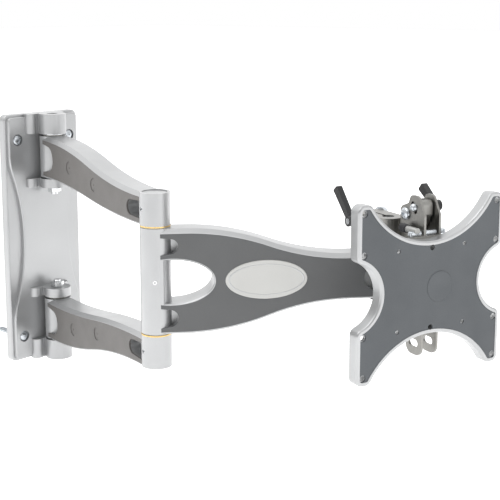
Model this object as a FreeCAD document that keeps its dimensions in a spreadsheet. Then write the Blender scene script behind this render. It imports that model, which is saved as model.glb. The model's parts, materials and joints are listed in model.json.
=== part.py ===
"""Full motion TV wall mount: wall plate, two inner arms, elbow column, outer arm, tilt head, screen plate.

Row frame: X to the right when facing the wall, Y into the wall, Z up, millimetres.
The origin is the centre of the wall plate's back face.
"""
import math
import os

import FreeCAD
import Part
import Sketcher
from FreeCAD import Placement, Rotation, Vector

doc = FreeCAD.newDocument("tv_wall_mount")

# ---------------------------------------------------------------- driving dimensions (mm, degrees)
SIZES = [
    # wall plate
    ("plate_width", 134),
    ("plate_height", 368),
    ("plate_thickness", 11.5),
    ("plate_corner", 9),
    ("panel_raise", 5.5),
    ("panel_margin", 4),
    ("panel_corner", 6),
    ("panel_waist", 84),
    ("panel_straight", 60),
    ("panel_turn", 80),
    ("plate_back_depth", 8),
    ("plate_back_wall", 8),
    ("plate_back_corner", 4),
    ("plate_rim", 2.5),
    ("panel_rim", 2),
    # lag screws
    ("lag_spacing_x", 95),
    ("lag_spacing_z", 294),
    ("lag_radius", 4),
    ("lag_neck_radius", 4.5),
    ("lag_reach", 45),
    ("lag_head_radius", 7.5),
    ("lag_head_height", 4.5),
    ("lag_seat_depth", 4),
    ("lag_seat_gap", 1),
    ("lag_point_radius", 0.5),
    # wall pivot
    ("barrel_radius", 19.5),
    ("barrel_to_panel", 1.5),
    ("boss_height", 29),
    ("boss_bump_radius", 9),
    ("boss_bump_offset", 25),
    ("boss_ridge_drop", 1.5),
    ("boss_neck_width", 30),
    ("wall_barrel_height", 60),
    ("ledge_height", 13),
    ("hinge_gap", 3),
    ("bolt_radius", 5),
    ("bolt_head_radius", 8),
    ("bolt_head_height", 9),
    ("bolt_head_sink", 1),
    ("bolt_end", 3),
    ("pivot_ring_radius", 13.6),
    ("nut_height", 8),
    ("nut_circumradius", 9.8),
    # plain bearings and washers
    ("running_clearance", 0.05),
    ("fit_clearance", 0.2),
    ("bush_wall", 2.5),
    ("bush_length", 16),
    ("bush_flange", 1.2),
    ("washer_clearance", 0.1),
    ("flange_step", 1.5),
    # inner arms
    ("inner_arm_length", 310),
    ("inner_arm_angle", -15.5),
    ("arm_thickness", 38),
    ("arm_shoulder", 5),
    ("arm_lower_bevel", 1.6),
    ("arm_web", 6),
    ("web_border", 4),
    ("column_barrel_height", 41.5),
    # elbow column
    ("column_shaft_radius", 11),
    ("column_cap_radius", 16),
    ("column_cap_height", 2),
    ("column_cap_sink", 1.2),
    ("set_screw_radius", 3),
    ("set_screw_sink", 1),
    # outer arm
    ("outer_arm_length", 298),
    ("outer_arm_angle", 48.5),
    ("outer_barrel_height", 135),
    ("end_barrel_height", 60),
    ("outer_shoulder", 36),
    ("outer_tail", 52),
    ("window_length", 72),
    ("window_height", 56),
    ("window_bevel", 1),
    ("window_border", 2),
    ("badge_length", 104),
    ("badge_height", 50),
    ("badge_thickness", 2),
    ("badge_stand", 0.8),
    ("badge_rim", 0.7),
    ("badge_place", 138),
    # arm covers
    ("cover_thickness", 2.5),
    ("cover_top_margin", 5.8),
    ("cover_bottom_margin", 2.6),
    ("cover_tip", 5),
    ("finger_width", 5),
    ("inner_scoop", 35),
    ("prong_scoop", 22),
    ("far_scoop", 29),
    ("scoop_narrowing", 0.88),
    ("scoop_roundness", 0.92),
    ("plug_radius", 9),
    ("plug_thickness", 1.6),
    ("plug_dimple_radius", 2),
    ("plug_dimple_depth", 0.8),
    ("first_plug_share", 0.31),
    ("second_plug_share", 0.56),
    # swivel at the outer arm's end
    ("head_angle", -20),
    ("swivel_pin_radius", 8),
    ("swivel_washer_radius", 24),
    ("swivel_washer_height", 2),
    ("swivel_pin_sink", 2),
    ("collar_step", 0.5),
    ("upper_collar_height", 40),
    ("lower_collar_height", 24),
    ("lower_collar_small_radius", 14),
    ("clamp_ear_reach", 56),
    ("clamp_ear_width", 40),
    ("clamp_ear_height", 24),
    ("clamp_slit", 3),
    ("clamp_bolt_radius", 4),
    ("clamp_bolt_place", 46),
    ("clamp_disc_radius", 15),
    ("clamp_disc_height", 5),
    ("clamp_corner", 8),
    ("lever_hub_radius", 7),
    ("lever_hub_height", 11),
    ("lever_root_half", 4),
    ("lever_end_half", 5.5),
    ("lever_end_corner", 1.5),
    ("lever_step", 1),
    ("end_play", 0.3),
    ("swivel_lever_length", 52),
    ("tilt_lever_length", 34),
    ("lever_angle", 49),
    ("tilt_lever_angle", 38),
    ("tilt_nut_gap", 1),
    # tilt head
    ("head_depth", 92),
    ("head_offset", 13),
    ("yoke_width", 16),
    ("yoke_gap", 0.5),
    ("yoke_nose", 6),
    ("yoke_corner", 6),
    ("yoke_spine", 9),
    ("cheek_gap", 2),
    ("cheek_thickness", 3),
    ("tilt_axis_forward", 38),
    ("tilt_axis_up", 83),
    ("tilt_clamp_radius", 19),
    ("tilt_clamp_angle", 32),
    ("tilt_range", 15),
    ("tilt_bolt_radius", 3),
    ("tilt_head_radius", 8),
    ("tilt_head_height", 5),
    ("tilt_clamp_head_radius", 5.4),
    ("tilt_nut_circumradius", 5.7),
    ("tilt_nut_height", 5),
    ("bracket_width", 62),
    ("bracket_overlap", 3),
    ("bracket_corner", 6),
    ("ear_radius", 15),
    ("ear_back", 15),
    ("ear_drop", 79),
    ("ear_slot_length", 18),
    ("ear_slot_radius", 5),
    # screen plate
    ("screen_width", 218),
    ("screen_height", 220),
    ("screen_thickness", 16),
    ("screen_skin", 4),
    ("screen_wall", 5),
    ("screen_waist_width", 151),
    ("screen_waist_height", 116),
    ("screen_lobe_flat", 90),
    ("screen_side_flat", 42),
    ("screen_corner", 9),
    ("screen_rim", 2.5),
    ("face_border", 5),
    ("face_thickness", 2),
    ("face_sink", 0.4),
    ("face_hole_gap", 1),
    ("vesa_wide", 200),
    ("vesa_narrow", 100),
    ("vesa_wide_hole", 3.3),
    ("vesa_narrow_hole", 2.6),
    ("centre_hole", 3.5),
    ("cap_radius", 19.5),
    ("cap_offset", 13),
    ("cap_height", 1.4),
    ("cap_rim", 1),
    ("plate_screw_radius", 3),
    ("plate_screw_head_radius", 5.4),
    ("plate_screw_head_height", 3.2),
    ("plate_screw_depth", 7),
    ("plate_tap_depth", 8),
    ("plate_screw_side", 8),
    ("plate_screw_drop", 16),
]

sheet = doc.addObject("Spreadsheet::Sheet", "sizes")
for row, (alias, value) in enumerate(SIZES, start=1):
    sheet.set(f"A{row}", alias)
    sheet.set(f"B{row}", str(value))
    sheet.setAlias(f"B{row}", alias)
doc.recompute()


def size(alias):
    """The value of one driving dimension."""
    return float(sheet.get(alias))


# ---------------------------------------------------------------- worked-out places shared by several pieces
PANEL_FACE = size("plate_thickness") + size("panel_raise")
PIVOT_OUT = PANEL_FACE + size("barrel_to_panel") + size("barrel_radius")
HALF_HEIGHT = size("plate_height") / 2
BOSS_LOW = HALF_HEIGHT - size("boss_height")
BARREL_TOP = BOSS_LOW - size("hinge_gap")
BARREL_LOW = BARREL_TOP - size("wall_barrel_height")
LEDGE_TOP = BARREL_LOW - size("hinge_gap")
LEDGE_LOW = LEDGE_TOP - size("ledge_height")
OUTER_HALF = size("outer_barrel_height") / 2
COLUMN_LOW = OUTER_HALF + size("hinge_gap")
COLUMN_TOP = COLUMN_LOW + size("column_barrel_height")
SET_SCREW_UP = (COLUMN_LOW + COLUMN_TOP) / 2
END_HALF = size("end_barrel_height") / 2
COLLAR_LOW = END_HALF + size("bush_flange") + size("swivel_washer_height") + 2 * size("washer_clearance")
UPPER_COLLAR_TOP = COLLAR_LOW + size("upper_collar_height")
LOWER_COLLAR_LOW = COLLAR_LOW + size("lower_collar_height")
CLAMP_HEIGHT = UPPER_COLLAR_TOP - size("clamp_ear_height") / 2
SCREEN_BACK = size("head_depth") - size("screen_thickness")
BRACKET_BACK = SCREEN_BACK - size("cheek_thickness")
CHEEK_INSIDE = size("yoke_width") / 2 + size("cheek_gap")
CHEEK_OUTSIDE = CHEEK_INSIDE + size("cheek_thickness")
EAR_X = BRACKET_BACK - size("ear_back")
EAR_Z = -size("ear_drop")
TILT_X = size("tilt_axis_forward")
TILT_Z = size("tilt_axis_up")
TILT_CLAMP_ANGLE = math.radians(size("tilt_clamp_angle"))
TILT_CLAMP_X = TILT_X + size("tilt_clamp_radius") * math.cos(TILT_CLAMP_ANGLE)
TILT_CLAMP_Z = TILT_Z + size("tilt_clamp_radius") * math.sin(TILT_CLAMP_ANGLE)


def outward(angle):
    """Unit vector that leaves the wall, turned by angle degrees towards +X."""
    turn = math.radians(angle)
    return Vector(math.sin(turn), -math.cos(turn), 0)


def turned_frame(base, angle):
    """Placement whose local X points along outward(angle) and whose local Z stays up."""
    return Placement(base, Rotation(Vector(0, 0, 1), angle - 90))


WALL_PIVOT = Vector(0, -PIVOT_OUT, 0)
ELBOW = WALL_PIVOT + outward(size("inner_arm_angle")) * size("inner_arm_length")
ARM_END = ELBOW + outward(size("outer_arm_angle")) * size("outer_arm_length")
WALL = Placement()
PIVOT = Placement(WALL_PIVOT, Rotation())
INNER = turned_frame(WALL_PIVOT, size("inner_arm_angle"))
OUTER = turned_frame(ELBOW, size("outer_arm_angle"))
HEAD = turned_frame(ARM_END, size("head_angle"))

SUBPARTS = []


def keep(shape_object, label, place):
    """Name a finished sub-part, put it in its place and list it for export."""
    shape_object.Label = label
    shape_object.Placement = place
    SUBPARTS.append(shape_object)
    return shape_object


# ---------------------------------------------------------------- outlines
def flat(x, y):
    return Vector(x, y, 0)


def line(start, end):
    return Part.LineSegment(flat(*start), flat(*end))


def arc(start, middle, end):
    return Part.Arc(flat(*start), flat(*middle), flat(*end))


def ease(start, end):
    """S-shaped pair of equal arcs that leaves start and reaches end along the sketch's first axis."""
    half_x = (end[0] - start[0]) / 2
    half_y = (end[1] - start[1]) / 2
    radius = (half_x ** 2 + half_y ** 2) / (2 * abs(half_y))
    quarter_x = radius * math.sin(math.atan2(abs(half_y), abs(half_x))) * math.copysign(1, half_x)
    quarter_y = (radius - math.sqrt(radius ** 2 - quarter_x ** 2)) * math.copysign(1, half_y)
    middle = (start[0] + half_x, start[1] + half_y)
    return [
        arc(start, (start[0] + quarter_x, start[1] + quarter_y), middle),
        arc(middle, (end[0] - quarter_x, end[1] - quarter_y), end),
    ]


def rounded(points):
    """Closed outline of (x, y, corner radius) points: straight sides joined by tangent arcs."""
    corners = []
    count = len(points)
    for index, (x, y, radius) in enumerate(points):
        here = flat(x, y)
        before = (flat(*points[index - 1][:2]) - here).normalize()
        after = (flat(*points[(index + 1) % count][:2]) - here).normalize()
        if radius == 0:
            corners.append((here, None, here))
            continue
        half = before.getAngle(after) / 2
        reach = radius / math.tan(half)
        bisector = (before + after).normalize()
        centre = here + bisector * (radius / math.sin(half))
        corners.append((here + before * reach, centre - bisector * radius, here + after * reach))
    curves = []
    for index, (start, middle, end) in enumerate(corners):
        if middle is not None:
            curves.append(Part.Arc(start, middle, end))
        curves.append(Part.LineSegment(end, corners[(index + 1) % count][0]))
    return curves


def rectangle(left, low, right, high, corner=0):
    return rounded([(left, low, corner), (right, low, corner), (right, high, corner), (left, high, corner)])


def outline_of(wire):
    """Sketch curves of a flat wire."""
    curves = []
    for edge in wire.OrderedEdges:
        first, last = edge.ParameterRange
        points = [edge.valueAt(value) for value in (first, (first + last) / 2, last)]
        if edge.Curve.TypeId == "Part::GeomLine":
            curves.append(Part.LineSegment(points[0], points[2]))
        else:
            curves.append(Part.Arc(*points))
    return curves


def slot_outline(centre, length, radius):
    """Round-ended slot of end-to-end length along the sketch's first axis."""
    x, y = centre
    reach = length / 2 - radius
    return [
        line((x - reach, y - radius), (x + reach, y - radius)),
        arc((x + reach, y - radius), (x + reach + radius, y), (x + reach, y + radius)),
        line((x + reach, y + radius), (x - reach, y + radius)),
        arc((x - reach, y + radius), (x - reach - radius, y), (x - reach, y - radius)),
    ]


def arc_slot(centre, reach, start, end, half_width):
    """Curved slot about centre from start to end degrees, with round ends."""

    def at(radius, degrees):
        turn = math.radians(degrees)
        return (centre[0] + radius * math.cos(turn), centre[1] + radius * math.sin(turn))

    middle = (start + end) / 2
    cap = math.degrees(half_width / reach)
    inner = reach - half_width
    outer = reach + half_width
    return [
        arc(at(inner, start), at(inner, middle), at(inner, end)),
        arc(at(inner, end), at(reach, end + cap), at(outer, end)),
        arc(at(outer, end), at(outer, middle), at(outer, start)),
        arc(at(outer, start), at(reach, start - cap), at(inner, start)),
    ]


# ---------------------------------------------------------------- PartDesign helpers
def new_body(name):
    return doc.addObject("PartDesign::Body", name)


def new_sketch(body, plane, offset, curves):
    """Sketch on one of the body's origin planes, lifted along the plane's normal by offset."""
    sketch = body.newObject("Sketcher::SketchObject", f"{body.Name}_outline")
    origin_plane = [item for item in body.Origin.OriginFeatures if item.Role == plane][0]
    sketch.AttachmentSupport = [(origin_plane, "")]
    sketch.MapMode = "FlatFace"
    sketch.AttachmentOffset = Placement(Vector(0, 0, offset), Rotation())
    sketch.addGeometry(curves, False)
    return sketch


def circle_sketch(body, plane, offset, centres, radius):
    """Sketch of equal circles whose radius follows an expression on the sheet."""
    circles = [Part.Circle(flat(*centre), Vector(0, 0, 1), 1) for centre in centres]
    sketch = new_sketch(body, plane, offset, circles)
    for index, centre in enumerate(centres):
        constraint = sketch.addConstraint(Sketcher.Constraint("Radius", index, 1))
        sketch.setExpression(f"Constraints[{constraint}]", radius)
        sketch.addConstraint(Sketcher.Constraint("DistanceX", -1, 1, index, 3, centre[0]))
        sketch.addConstraint(Sketcher.Constraint("DistanceY", -1, 1, index, 3, centre[1]))
    return sketch


def pad(body, sketch, length, symmetric=False):
    """Pad along the sketch's normal, or half each way; length is an expression on the sheet."""
    feature = body.newObject("PartDesign::Pad", f"{body.Name}_pad")
    feature.Profile = sketch
    feature.setExpression("Length", length)
    if symmetric:
        feature.SideType = "Symmetric"
    doc.recompute()
    return feature


def pocket(body, sketch, length, along_normal=False, symmetric=False):
    """Pocket against the sketch's normal unless told otherwise; it must remove material."""
    before = body.Shape.Volume
    feature = body.newObject("PartDesign::Pocket", f"{body.Name}_pocket")
    feature.Profile = sketch
    feature.setExpression("Length", length)
    feature.Reversed = along_normal
    if symmetric:
        feature.SideType = "Symmetric"
    doc.recompute()
    if not 0 < body.Shape.Volume < before:
        raise ValueError(f"{body.Name}: a pocket removes nothing")
    return feature


def edge_names(shape, wanted):
    return [f"Edge{index}" for index, edge in enumerate(shape.Edges, start=1) if wanted(edge)]


def dress(body, kind, wanted, amount):
    """Fillet or Chamfer on every edge that wanted accepts; amount is an expression on the sheet."""
    base = body.Tip
    feature = body.newObject(f"PartDesign::{kind}", f"{body.Name}_{kind.lower()}")
    feature.Base = (base, edge_names(base.Shape, wanted))
    feature.setExpression("Size" if kind == "Chamfer" else "Radius", amount)
    doc.recompute()
    return feature


def flat_at(axis, value):
    """Test for edges that lie wholly in the plane where the named coordinate has this value."""

    def wanted(edge):
        box = edge.BoundBox
        return abs(getattr(box, f"{axis}Min") - value) < 1e-4 and abs(getattr(box, f"{axis}Max") - value) < 1e-4

    return wanted


# ---------------------------------------------------------------- Part helpers for turned and sawn pieces
def bound(kind, name, sizes, place=None):
    """Part primitive whose sizes follow expressions on the sheet."""
    solid = doc.addObject(f"Part::{kind}", name)
    for key, expression in sizes.items():
        solid.setExpression(key, expression)
    if place is not None:
        solid.Placement = place
    return solid


def upright(x=0, y=0, z=0):
    return Placement(Vector(x, y, z), Rotation())


def sideways(x=0, y=0, z=0):
    """Placement that lays a piece's own axis along local +Y."""
    return Placement(Vector(x, y, z), Rotation(Vector(1, 0, 0), -90))


def cylinder(name, radius, height, place=None):
    return bound("Cylinder", name, {"Radius": radius, "Height": height}, place)


def rod(name, radius, length, place=None):
    """Cylinder whose length is worked out from the places of the pieces that it joins."""
    solid = cylinder(name, radius, "1", place)
    solid.setExpression("Height", None)
    solid.Height = length
    return solid


def hexagon(name, radius, height, place=None):
    return bound("Prism", name, {"Circumradius": radius, "Height": height}, place)


def dome(name, radius, height, place=None):
    """Upper half of an ellipsoid, as on a button head."""
    solid = bound("Ellipsoid", name, {"Radius1": height, "Radius2": radius, "Radius3": radius}, place)
    solid.Angle1 = 0
    return solid


def fuse(name, *solids):
    joined = doc.addObject("Part::MultiFuse", name)
    joined.Shapes = list(solids)
    joined.Refine = True
    doc.recompute()
    return joined


def cut(name, base, tool):
    result = doc.addObject("Part::Cut", name)
    result.Base = base
    result.Tool = tool
    doc.recompute()
    return result


def ring(name, outer, inner, height, place=None):
    """Washer or tube: outer and inner radius and height are expressions on the sheet."""
    tube = cut(name, cylinder(f"{name}_blank", outer, height), cylinder(f"{name}_bore", inner, height))
    if place is not None:
        tube.Placement = place
    return tube


def group(label, solids, place):
    """Equal small pieces in one node, each its own solid."""
    compound = doc.addObject("Part::Compound", label)
    compound.Links = solids
    doc.recompute()
    return keep(compound, label, place)


# ---------------------------------------------------------------- wall plate
def boss_block(body, low, height):
    """Neck, round knuckle and two side bumps that carry one end of a wall pivot bolt."""
    half_neck = size("boss_neck_width") / 2
    neck = new_sketch(body, "XY_Plane", low, rectangle(-half_neck, -PIVOT_OUT, half_neck, -size("plate_thickness")))
    pad(body, neck, height)
    knuckle = circle_sketch(body, "XY_Plane", low, [(0, -PIVOT_OUT)], "sizes.barrel_radius")
    pad(body, knuckle, height)
    reach = size("boss_bump_offset")
    front = PANEL_FACE + size("boss_bump_radius") - size("boss_ridge_drop")
    pad(body, new_sketch(body, "XY_Plane", low, rectangle(-reach, -front, reach, -size("plate_thickness"))), height)
    bumps = [(side * reach, -PANEL_FACE) for side in (-1, 1)]
    pad(body, circle_sketch(body, "XY_Plane", low, bumps, "sizes.boss_bump_radius"), height)


def hourglass():
    """Raised panel: straight sides at both ends, drawn in to a waist at mid-height by tangent arcs."""
    end = size("plate_width") / 2 - size("panel_margin")
    waist = size("panel_waist") / 2
    top = HALF_HEIGHT - size("panel_margin")
    bend = HALF_HEIGHT - size("panel_straight")
    turn = size("panel_turn")
    corner = size("panel_corner")
    both_radii = (bend ** 2 + (end - waist) ** 2) / (2 * (end - waist))
    angle = math.asin(bend / both_radii)

    def around(centre_x, centre_z, radius, degrees_down):
        return centre_x + radius * math.cos(degrees_down), centre_z - radius * math.sin(degrees_down)

    upper = [
        (end - corner, top),
        around(end - corner, top - corner, corner, -math.pi / 4),
        (end, top - corner),
        (end, bend),
        around(end - turn, bend, turn, angle / 2),
        around(end - turn, bend, turn, angle),
    ]
    curves = []
    for side in (1, -1):
        start, corner_middle, corner_end, bend_start, bend_middle, bend_end = [(side * x, side * z) for x, z in upper]
        low = [(x, -z) for x, z in (bend_end, bend_middle, bend_start, corner_end, corner_middle, start)]
        curves += [
            arc(start, corner_middle, corner_end),
            line(corner_end, bend_start),
            arc(bend_start, bend_middle, bend_end),
            arc(bend_end, (side * waist, 0), low[0]),
            arc(low[0], low[1], low[2]),
            line(low[2], low[3]),
            arc(low[3], low[4], low[5]),
            line(low[5], (-low[5][0], low[5][1])),
        ]
    return curves


def make_wall_plate():
    body = new_body("wall_plate")
    half_width = size("plate_width") / 2
    blank = rectangle(-half_width, -HALF_HEIGHT, half_width, HALF_HEIGHT, size("plate_corner"))
    pad(body, new_sketch(body, "XZ_Plane", 0, blank), "sizes.plate_thickness")
    dress(body, "Fillet", flat_at("Y", -size("plate_thickness")), "sizes.plate_rim")
    panel = new_sketch(body, "XZ_Plane", size("plate_thickness"), hourglass())
    pad(body, panel, "sizes.panel_raise")
    dress(body, "Fillet", flat_at("Y", -PANEL_FACE), "sizes.panel_rim")
    boss_block(body, BOSS_LOW, "sizes.boss_height")
    boss_block(body, -HALF_HEIGHT, "sizes.boss_height")
    boss_block(body, LEDGE_LOW, "sizes.ledge_height")
    boss_block(body, -LEDGE_TOP, "sizes.ledge_height")
    bore = circle_sketch(body, "XY_Plane", 0, [(0, -PIVOT_OUT)], "sizes.bolt_radius + sizes.fit_clearance")
    pocket(body, bore, "sizes.plate_height", symmetric=True)
    head_room = "sizes.bolt_head_radius + sizes.fit_clearance"
    top_seat = circle_sketch(body, "XY_Plane", HALF_HEIGHT, [(0, -PIVOT_OUT)], head_room)
    pocket(body, top_seat, "sizes.bolt_head_height + sizes.bolt_head_sink")
    low_seat = circle_sketch(body, "XY_Plane", -HALF_HEIGHT, [(0, -PIVOT_OUT)], head_room)
    pocket(body, low_seat, "sizes.bolt_head_height + sizes.bolt_head_sink", along_normal=True)
    seats = circle_sketch(body, "XZ_Plane", PANEL_FACE, lag_places(), "sizes.lag_head_radius + sizes.lag_seat_gap")
    pocket(body, seats, "sizes.lag_seat_depth")
    holes = circle_sketch(body, "XZ_Plane", PANEL_FACE, lag_places(), "sizes.lag_neck_radius + sizes.fit_clearance")
    pocket(body, holes, "sizes.plate_thickness + sizes.panel_raise")
    inset = half_width - size("plate_back_wall")
    reach = size("lag_spacing_z") / 2 - size("lag_head_radius") - size("plate_back_wall")
    for low, high in ((size("plate_back_wall"), reach), (-reach, -size("plate_back_wall"))):
        back = new_sketch(body, "XZ_Plane", 0, rectangle(-inset, low, inset, high, size("plate_back_corner")))
        pocket(body, back, "sizes.plate_back_depth", along_normal=True)
    keep(body, "wall_plate", WALL)


def lag_places():
    half_x = size("lag_spacing_x") / 2
    half_z = size("lag_spacing_z") / 2
    return [(x, z) for x in (-half_x, half_x) for z in (-half_z, half_z)]


def make_lag_screws():
    """Wood screws: domed head and thicker neck in the plate, shank and point in the wall."""
    seat = PANEL_FACE - size("lag_seat_depth")
    screws = []
    for x, z in lag_places():
        neck_length = "sizes.plate_thickness + sizes.panel_raise - sizes.lag_seat_depth"
        neck = cylinder("lag_neck", "sizes.lag_neck_radius", neck_length)
        shank = cylinder("lag_shank", "sizes.lag_radius", f"sizes.lag_reach + {neck_length}")
        point = bound("Cone", "lag_point", {"Radius1": "sizes.lag_radius", "Height": "sizes.lag_radius * 2"},
                      upright(z=size("lag_reach") + seat))
        point.Radius2 = size("lag_point_radius")
        head = dome("lag_head", "sizes.lag_head_radius", "sizes.lag_head_height",
                    Placement(Vector(), Rotation(Vector(1, 0, 0), 180)))
        screw = fuse("lag_screw", neck, shank, point, head)
        screw.Placement = sideways(x, -seat, z)
        screws.append(screw)
    group("lag_screws", screws, WALL)


def make_pivot_bolts():
    """Socket-head bolts down through boss, arm barrel and ledge, with a nut under each ledge."""
    bolts = []
    nuts = []
    head_low = HALF_HEIGHT - size("bolt_head_height") - size("bolt_head_sink")
    length = head_low - LEDGE_LOW + size("nut_height") + size("bolt_end")
    for side in (1, -1):
        head = cylinder("pivot_bolt_head", "sizes.bolt_head_radius", "sizes.bolt_head_height")
        socket = hexagon("pivot_bolt_socket", "sizes.bolt_radius * 0.9", "sizes.bolt_radius",
                         upright(z=size("bolt_head_height") - size("bolt_radius")))
        shank = rod("pivot_bolt_shank", "sizes.bolt_radius", length, upright(z=-length))
        bolt = cut("pivot_bolt", fuse("pivot_bolt_blank", head, shank), socket)
        flip = Rotation() if side > 0 else Rotation(Vector(1, 0, 0), 180)
        bolt.Placement = Placement(Vector(0, 0, side * head_low), flip)
        bolts.append(bolt)
        nut = cut("pivot_nut", hexagon("pivot_nut_blank", "sizes.nut_circumradius", "sizes.nut_height"),
                  cylinder("pivot_nut_bore", "sizes.bolt_radius", "sizes.nut_height"))
        nut.Placement = upright(z=LEDGE_LOW - size("nut_height") if side > 0 else -LEDGE_LOW)
        nuts.append(nut)
    group("wall_pivot_bolts", bolts, PIVOT)
    group("wall_pivot_nuts", nuts, PIVOT)


def make_hinge_rings(label, radius, outer, faces, place):
    """Thrust washers: one against each hinge face, on the side away from the bush flange."""
    height = size("hinge_gap") - size("bush_flange") - 2 * size("washer_clearance")
    rings = []
    for face, direction in faces:
        low = face + size("washer_clearance") if direction > 0 else face - size("washer_clearance") - height
        rings.append(ring("hinge_washer", outer, f"{radius} + sizes.fit_clearance",
                          "sizes.hinge_gap - sizes.bush_flange - 2 * sizes.washer_clearance", upright(z=low)))
    group(label, rings, place)


def make_bushes(label, radius, flange_radius, ends, places, place):
    """Flanged plain bearings: each end is (height of the barrel's face, +1 for a top face or -1)."""
    bushes = []
    for x in places:
        for face, direction in ends:
            sleeve_place = upright(z=-size("bush_length") if direction > 0 else 0)
            flange_place = upright(z=0 if direction > 0 else -size("bush_flange"))
            sleeve = cylinder("bush_sleeve", f"{radius} + sizes.bush_wall", "sizes.bush_length", sleeve_place)
            flange = cylinder("bush_flange", flange_radius, "sizes.bush_flange", flange_place)
            bore = cylinder("bush_bore", f"{radius} + sizes.running_clearance",
                            "sizes.bush_length + 2 * sizes.bush_flange",
                            upright(z=-size("bush_length") - size("bush_flange") if direction > 0
                                    else -size("bush_flange")))
            bush = cut("bush", fuse("bush_blank", sleeve, flange), bore)
            bush.Placement = upright(x=x, z=face)
            bushes.append(bush)
    group(label, bushes, place)


# ---------------------------------------------------------------- inner arms
def inner_heights(side, top_drop, bottom_rise):
    """Upper and lower edge heights at the wall and at the column, for an upper (1) or lower (-1) arm."""
    outer_drop, inner_rise = (top_drop, bottom_rise) if side > 0 else (bottom_rise, top_drop)
    return (
        (BARREL_TOP - outer_drop, COLUMN_TOP - outer_drop),
        (BARREL_LOW + inner_rise, COLUMN_LOW + inner_rise),
    )


def inner_middle(x):
    """Height of an upper arm's middle line at a distance from the wall pivot."""
    tip = size("cover_tip")
    share = (x - tip) / (size("inner_arm_length") - 2 * tip)
    fallen = 2 * share ** 2 if share < 0.5 else 1 - 2 * (1 - share) ** 2
    at_wall = (BARREL_TOP + BARREL_LOW) / 2
    at_column = (COLUMN_TOP + COLUMN_LOW) / 2
    return at_wall + (at_column - at_wall) * fallen


def mirrored(points, side):
    return [(x, side * z) for x, z in points]


def inner_outline(side):
    """Side view of an inner arm between its two barrel centres."""
    length = size("inner_arm_length")
    tip = size("cover_tip")
    (top_wall, top_column), (low_wall, low_column) = inner_heights(side, 0.5, 0.5)
    points = mirrored([(0, top_wall), (tip, top_wall), (length - tip, top_column), (length, top_column),
                       (length, low_column), (length - tip, low_column), (tip, low_wall), (0, low_wall)], side)
    return [
        line(points[0], points[1]),
        *ease(points[1], points[2]),
        line(points[2], points[3]),
        line(points[3], points[4]),
        line(points[4], points[5]),
        *ease(points[5], points[6]),
        line(points[6], points[7]),
        line(points[7], points[0]),
    ]


def inner_web_outline(side):
    """Deeper recess under a cover, clear of the scoops, that leaves a thin web."""
    length = size("inner_arm_length")
    end = size("cover_tip") + size("inner_scoop") + size("web_border")
    (top_wall, top_column), (low_wall, low_column) = inner_heights(
        side, size("cover_top_margin") + size("web_border"), size("cover_bottom_margin") + size("web_border"))
    points = mirrored([(end, top_wall), (length - end, top_column), (length - end, low_column), (end, low_wall)], side)
    return [
        *ease(points[0], points[1]),
        line(points[1], points[2]),
        *ease(points[2], points[3]),
        line(points[3], points[0]),
    ]


def scoop(first, last, depth):
    """Ends and curves of the scoop between two finger tips: straight finger edges and a round bottom."""
    tip = first[0]
    width = math.copysign(size("finger_width"), last[1] - first[1])
    start = (tip, first[1] + width)
    end = (tip, last[1] - width)
    middle = (start[1] + end[1]) / 2
    half = (start[1] - end[1]) / 2 * size("scoop_narrowing")
    bottom = tip + depth
    turn = bottom - math.copysign(abs(half) * size("scoop_roundness"), depth)
    curves = [
        line(start, (turn, middle + half)),
        arc((turn, middle + half), (bottom, middle), (turn, middle - half)),
        line((turn, middle - half), end),
    ]
    return start, curves, end


def bite(first, last, depth):
    """End of a cover: a blunt finger tip, the scoop and the other finger tip, all at the same x."""
    start, curves, end = scoop(first, last, depth)
    return [line(first, start), *curves, line(end, last)]


def hollow(first, last, depth):
    """Closed outline of the scoop alone, for the hollow beside a barrel."""
    start, curves, end = scoop(first, last, depth)
    return [*curves, line(end, start)]


def inner_tips(side, shrink):
    """Finger tips of an inner arm's cover: upper and lower at the wall, then at the column."""
    length = size("inner_arm_length")
    tip = size("cover_tip") + shrink
    (top_wall, top_column), (low_wall, low_column) = inner_heights(
        side, size("cover_top_margin") + shrink, size("cover_bottom_margin") + shrink)
    return mirrored([(tip, top_wall), (tip, low_wall), (length - tip, top_column), (length - tip, low_column)], side)


def inner_cover_outline(side, shrink):
    """Cover outline: two pointed fingers and a scoop at each end."""
    wall_top, wall_low, column_top, column_low = inner_tips(side, shrink)
    return [
        *ease(wall_top, column_top),
        *bite(column_top, column_low, -size("inner_scoop")),
        *ease(column_low, wall_low),
        *bite(wall_low, wall_top, size("inner_scoop")),
    ]


def inner_scoops(side):
    """Outlines of the two hollows beside the barrels."""
    wall_top, wall_low, column_top, column_low = inner_tips(side, 0)
    return [
        hollow(wall_low, wall_top, size("inner_scoop")),
        hollow(column_top, column_low, -size("inner_scoop")),
    ]


def side_edges(middle_at, above):
    """Selector of the long edges of an arm's side faces, above or below its middle line."""
    def wanted(edge):
        box = edge.BoundBox
        on_side = abs(abs(box.YMin) - size("arm_thickness") / 2) < 1e-4 and box.YLength < 1e-4
        if not on_side or box.XLength < 1e-3:
            return False
        first, last = edge.ParameterRange
        middle = edge.valueAt((first + last) / 2)
        return (middle.z > middle_at(middle.x)) == above
    return wanted


def bevel_sides(body, middle_at):
    """Broad shoulder along the upper edges of the side faces, narrow bevel along the lower."""
    dress(body, "Chamfer", side_edges(middle_at, True), "sizes.arm_shoulder")
    dress(body, "Chamfer", side_edges(middle_at, False), "sizes.arm_lower_bevel")


def side_pockets(body, curves, depth, from_depth=0):
    """The same pocket in both side faces of an arm, starting from_depth below the face."""
    start = size("arm_thickness") / 2 - from_depth
    pocket(body, new_sketch(body, "XZ_Plane", start, curves), depth)
    pocket(body, new_sketch(body, "XZ_Plane", -start, curves), depth, along_normal=True)


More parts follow.
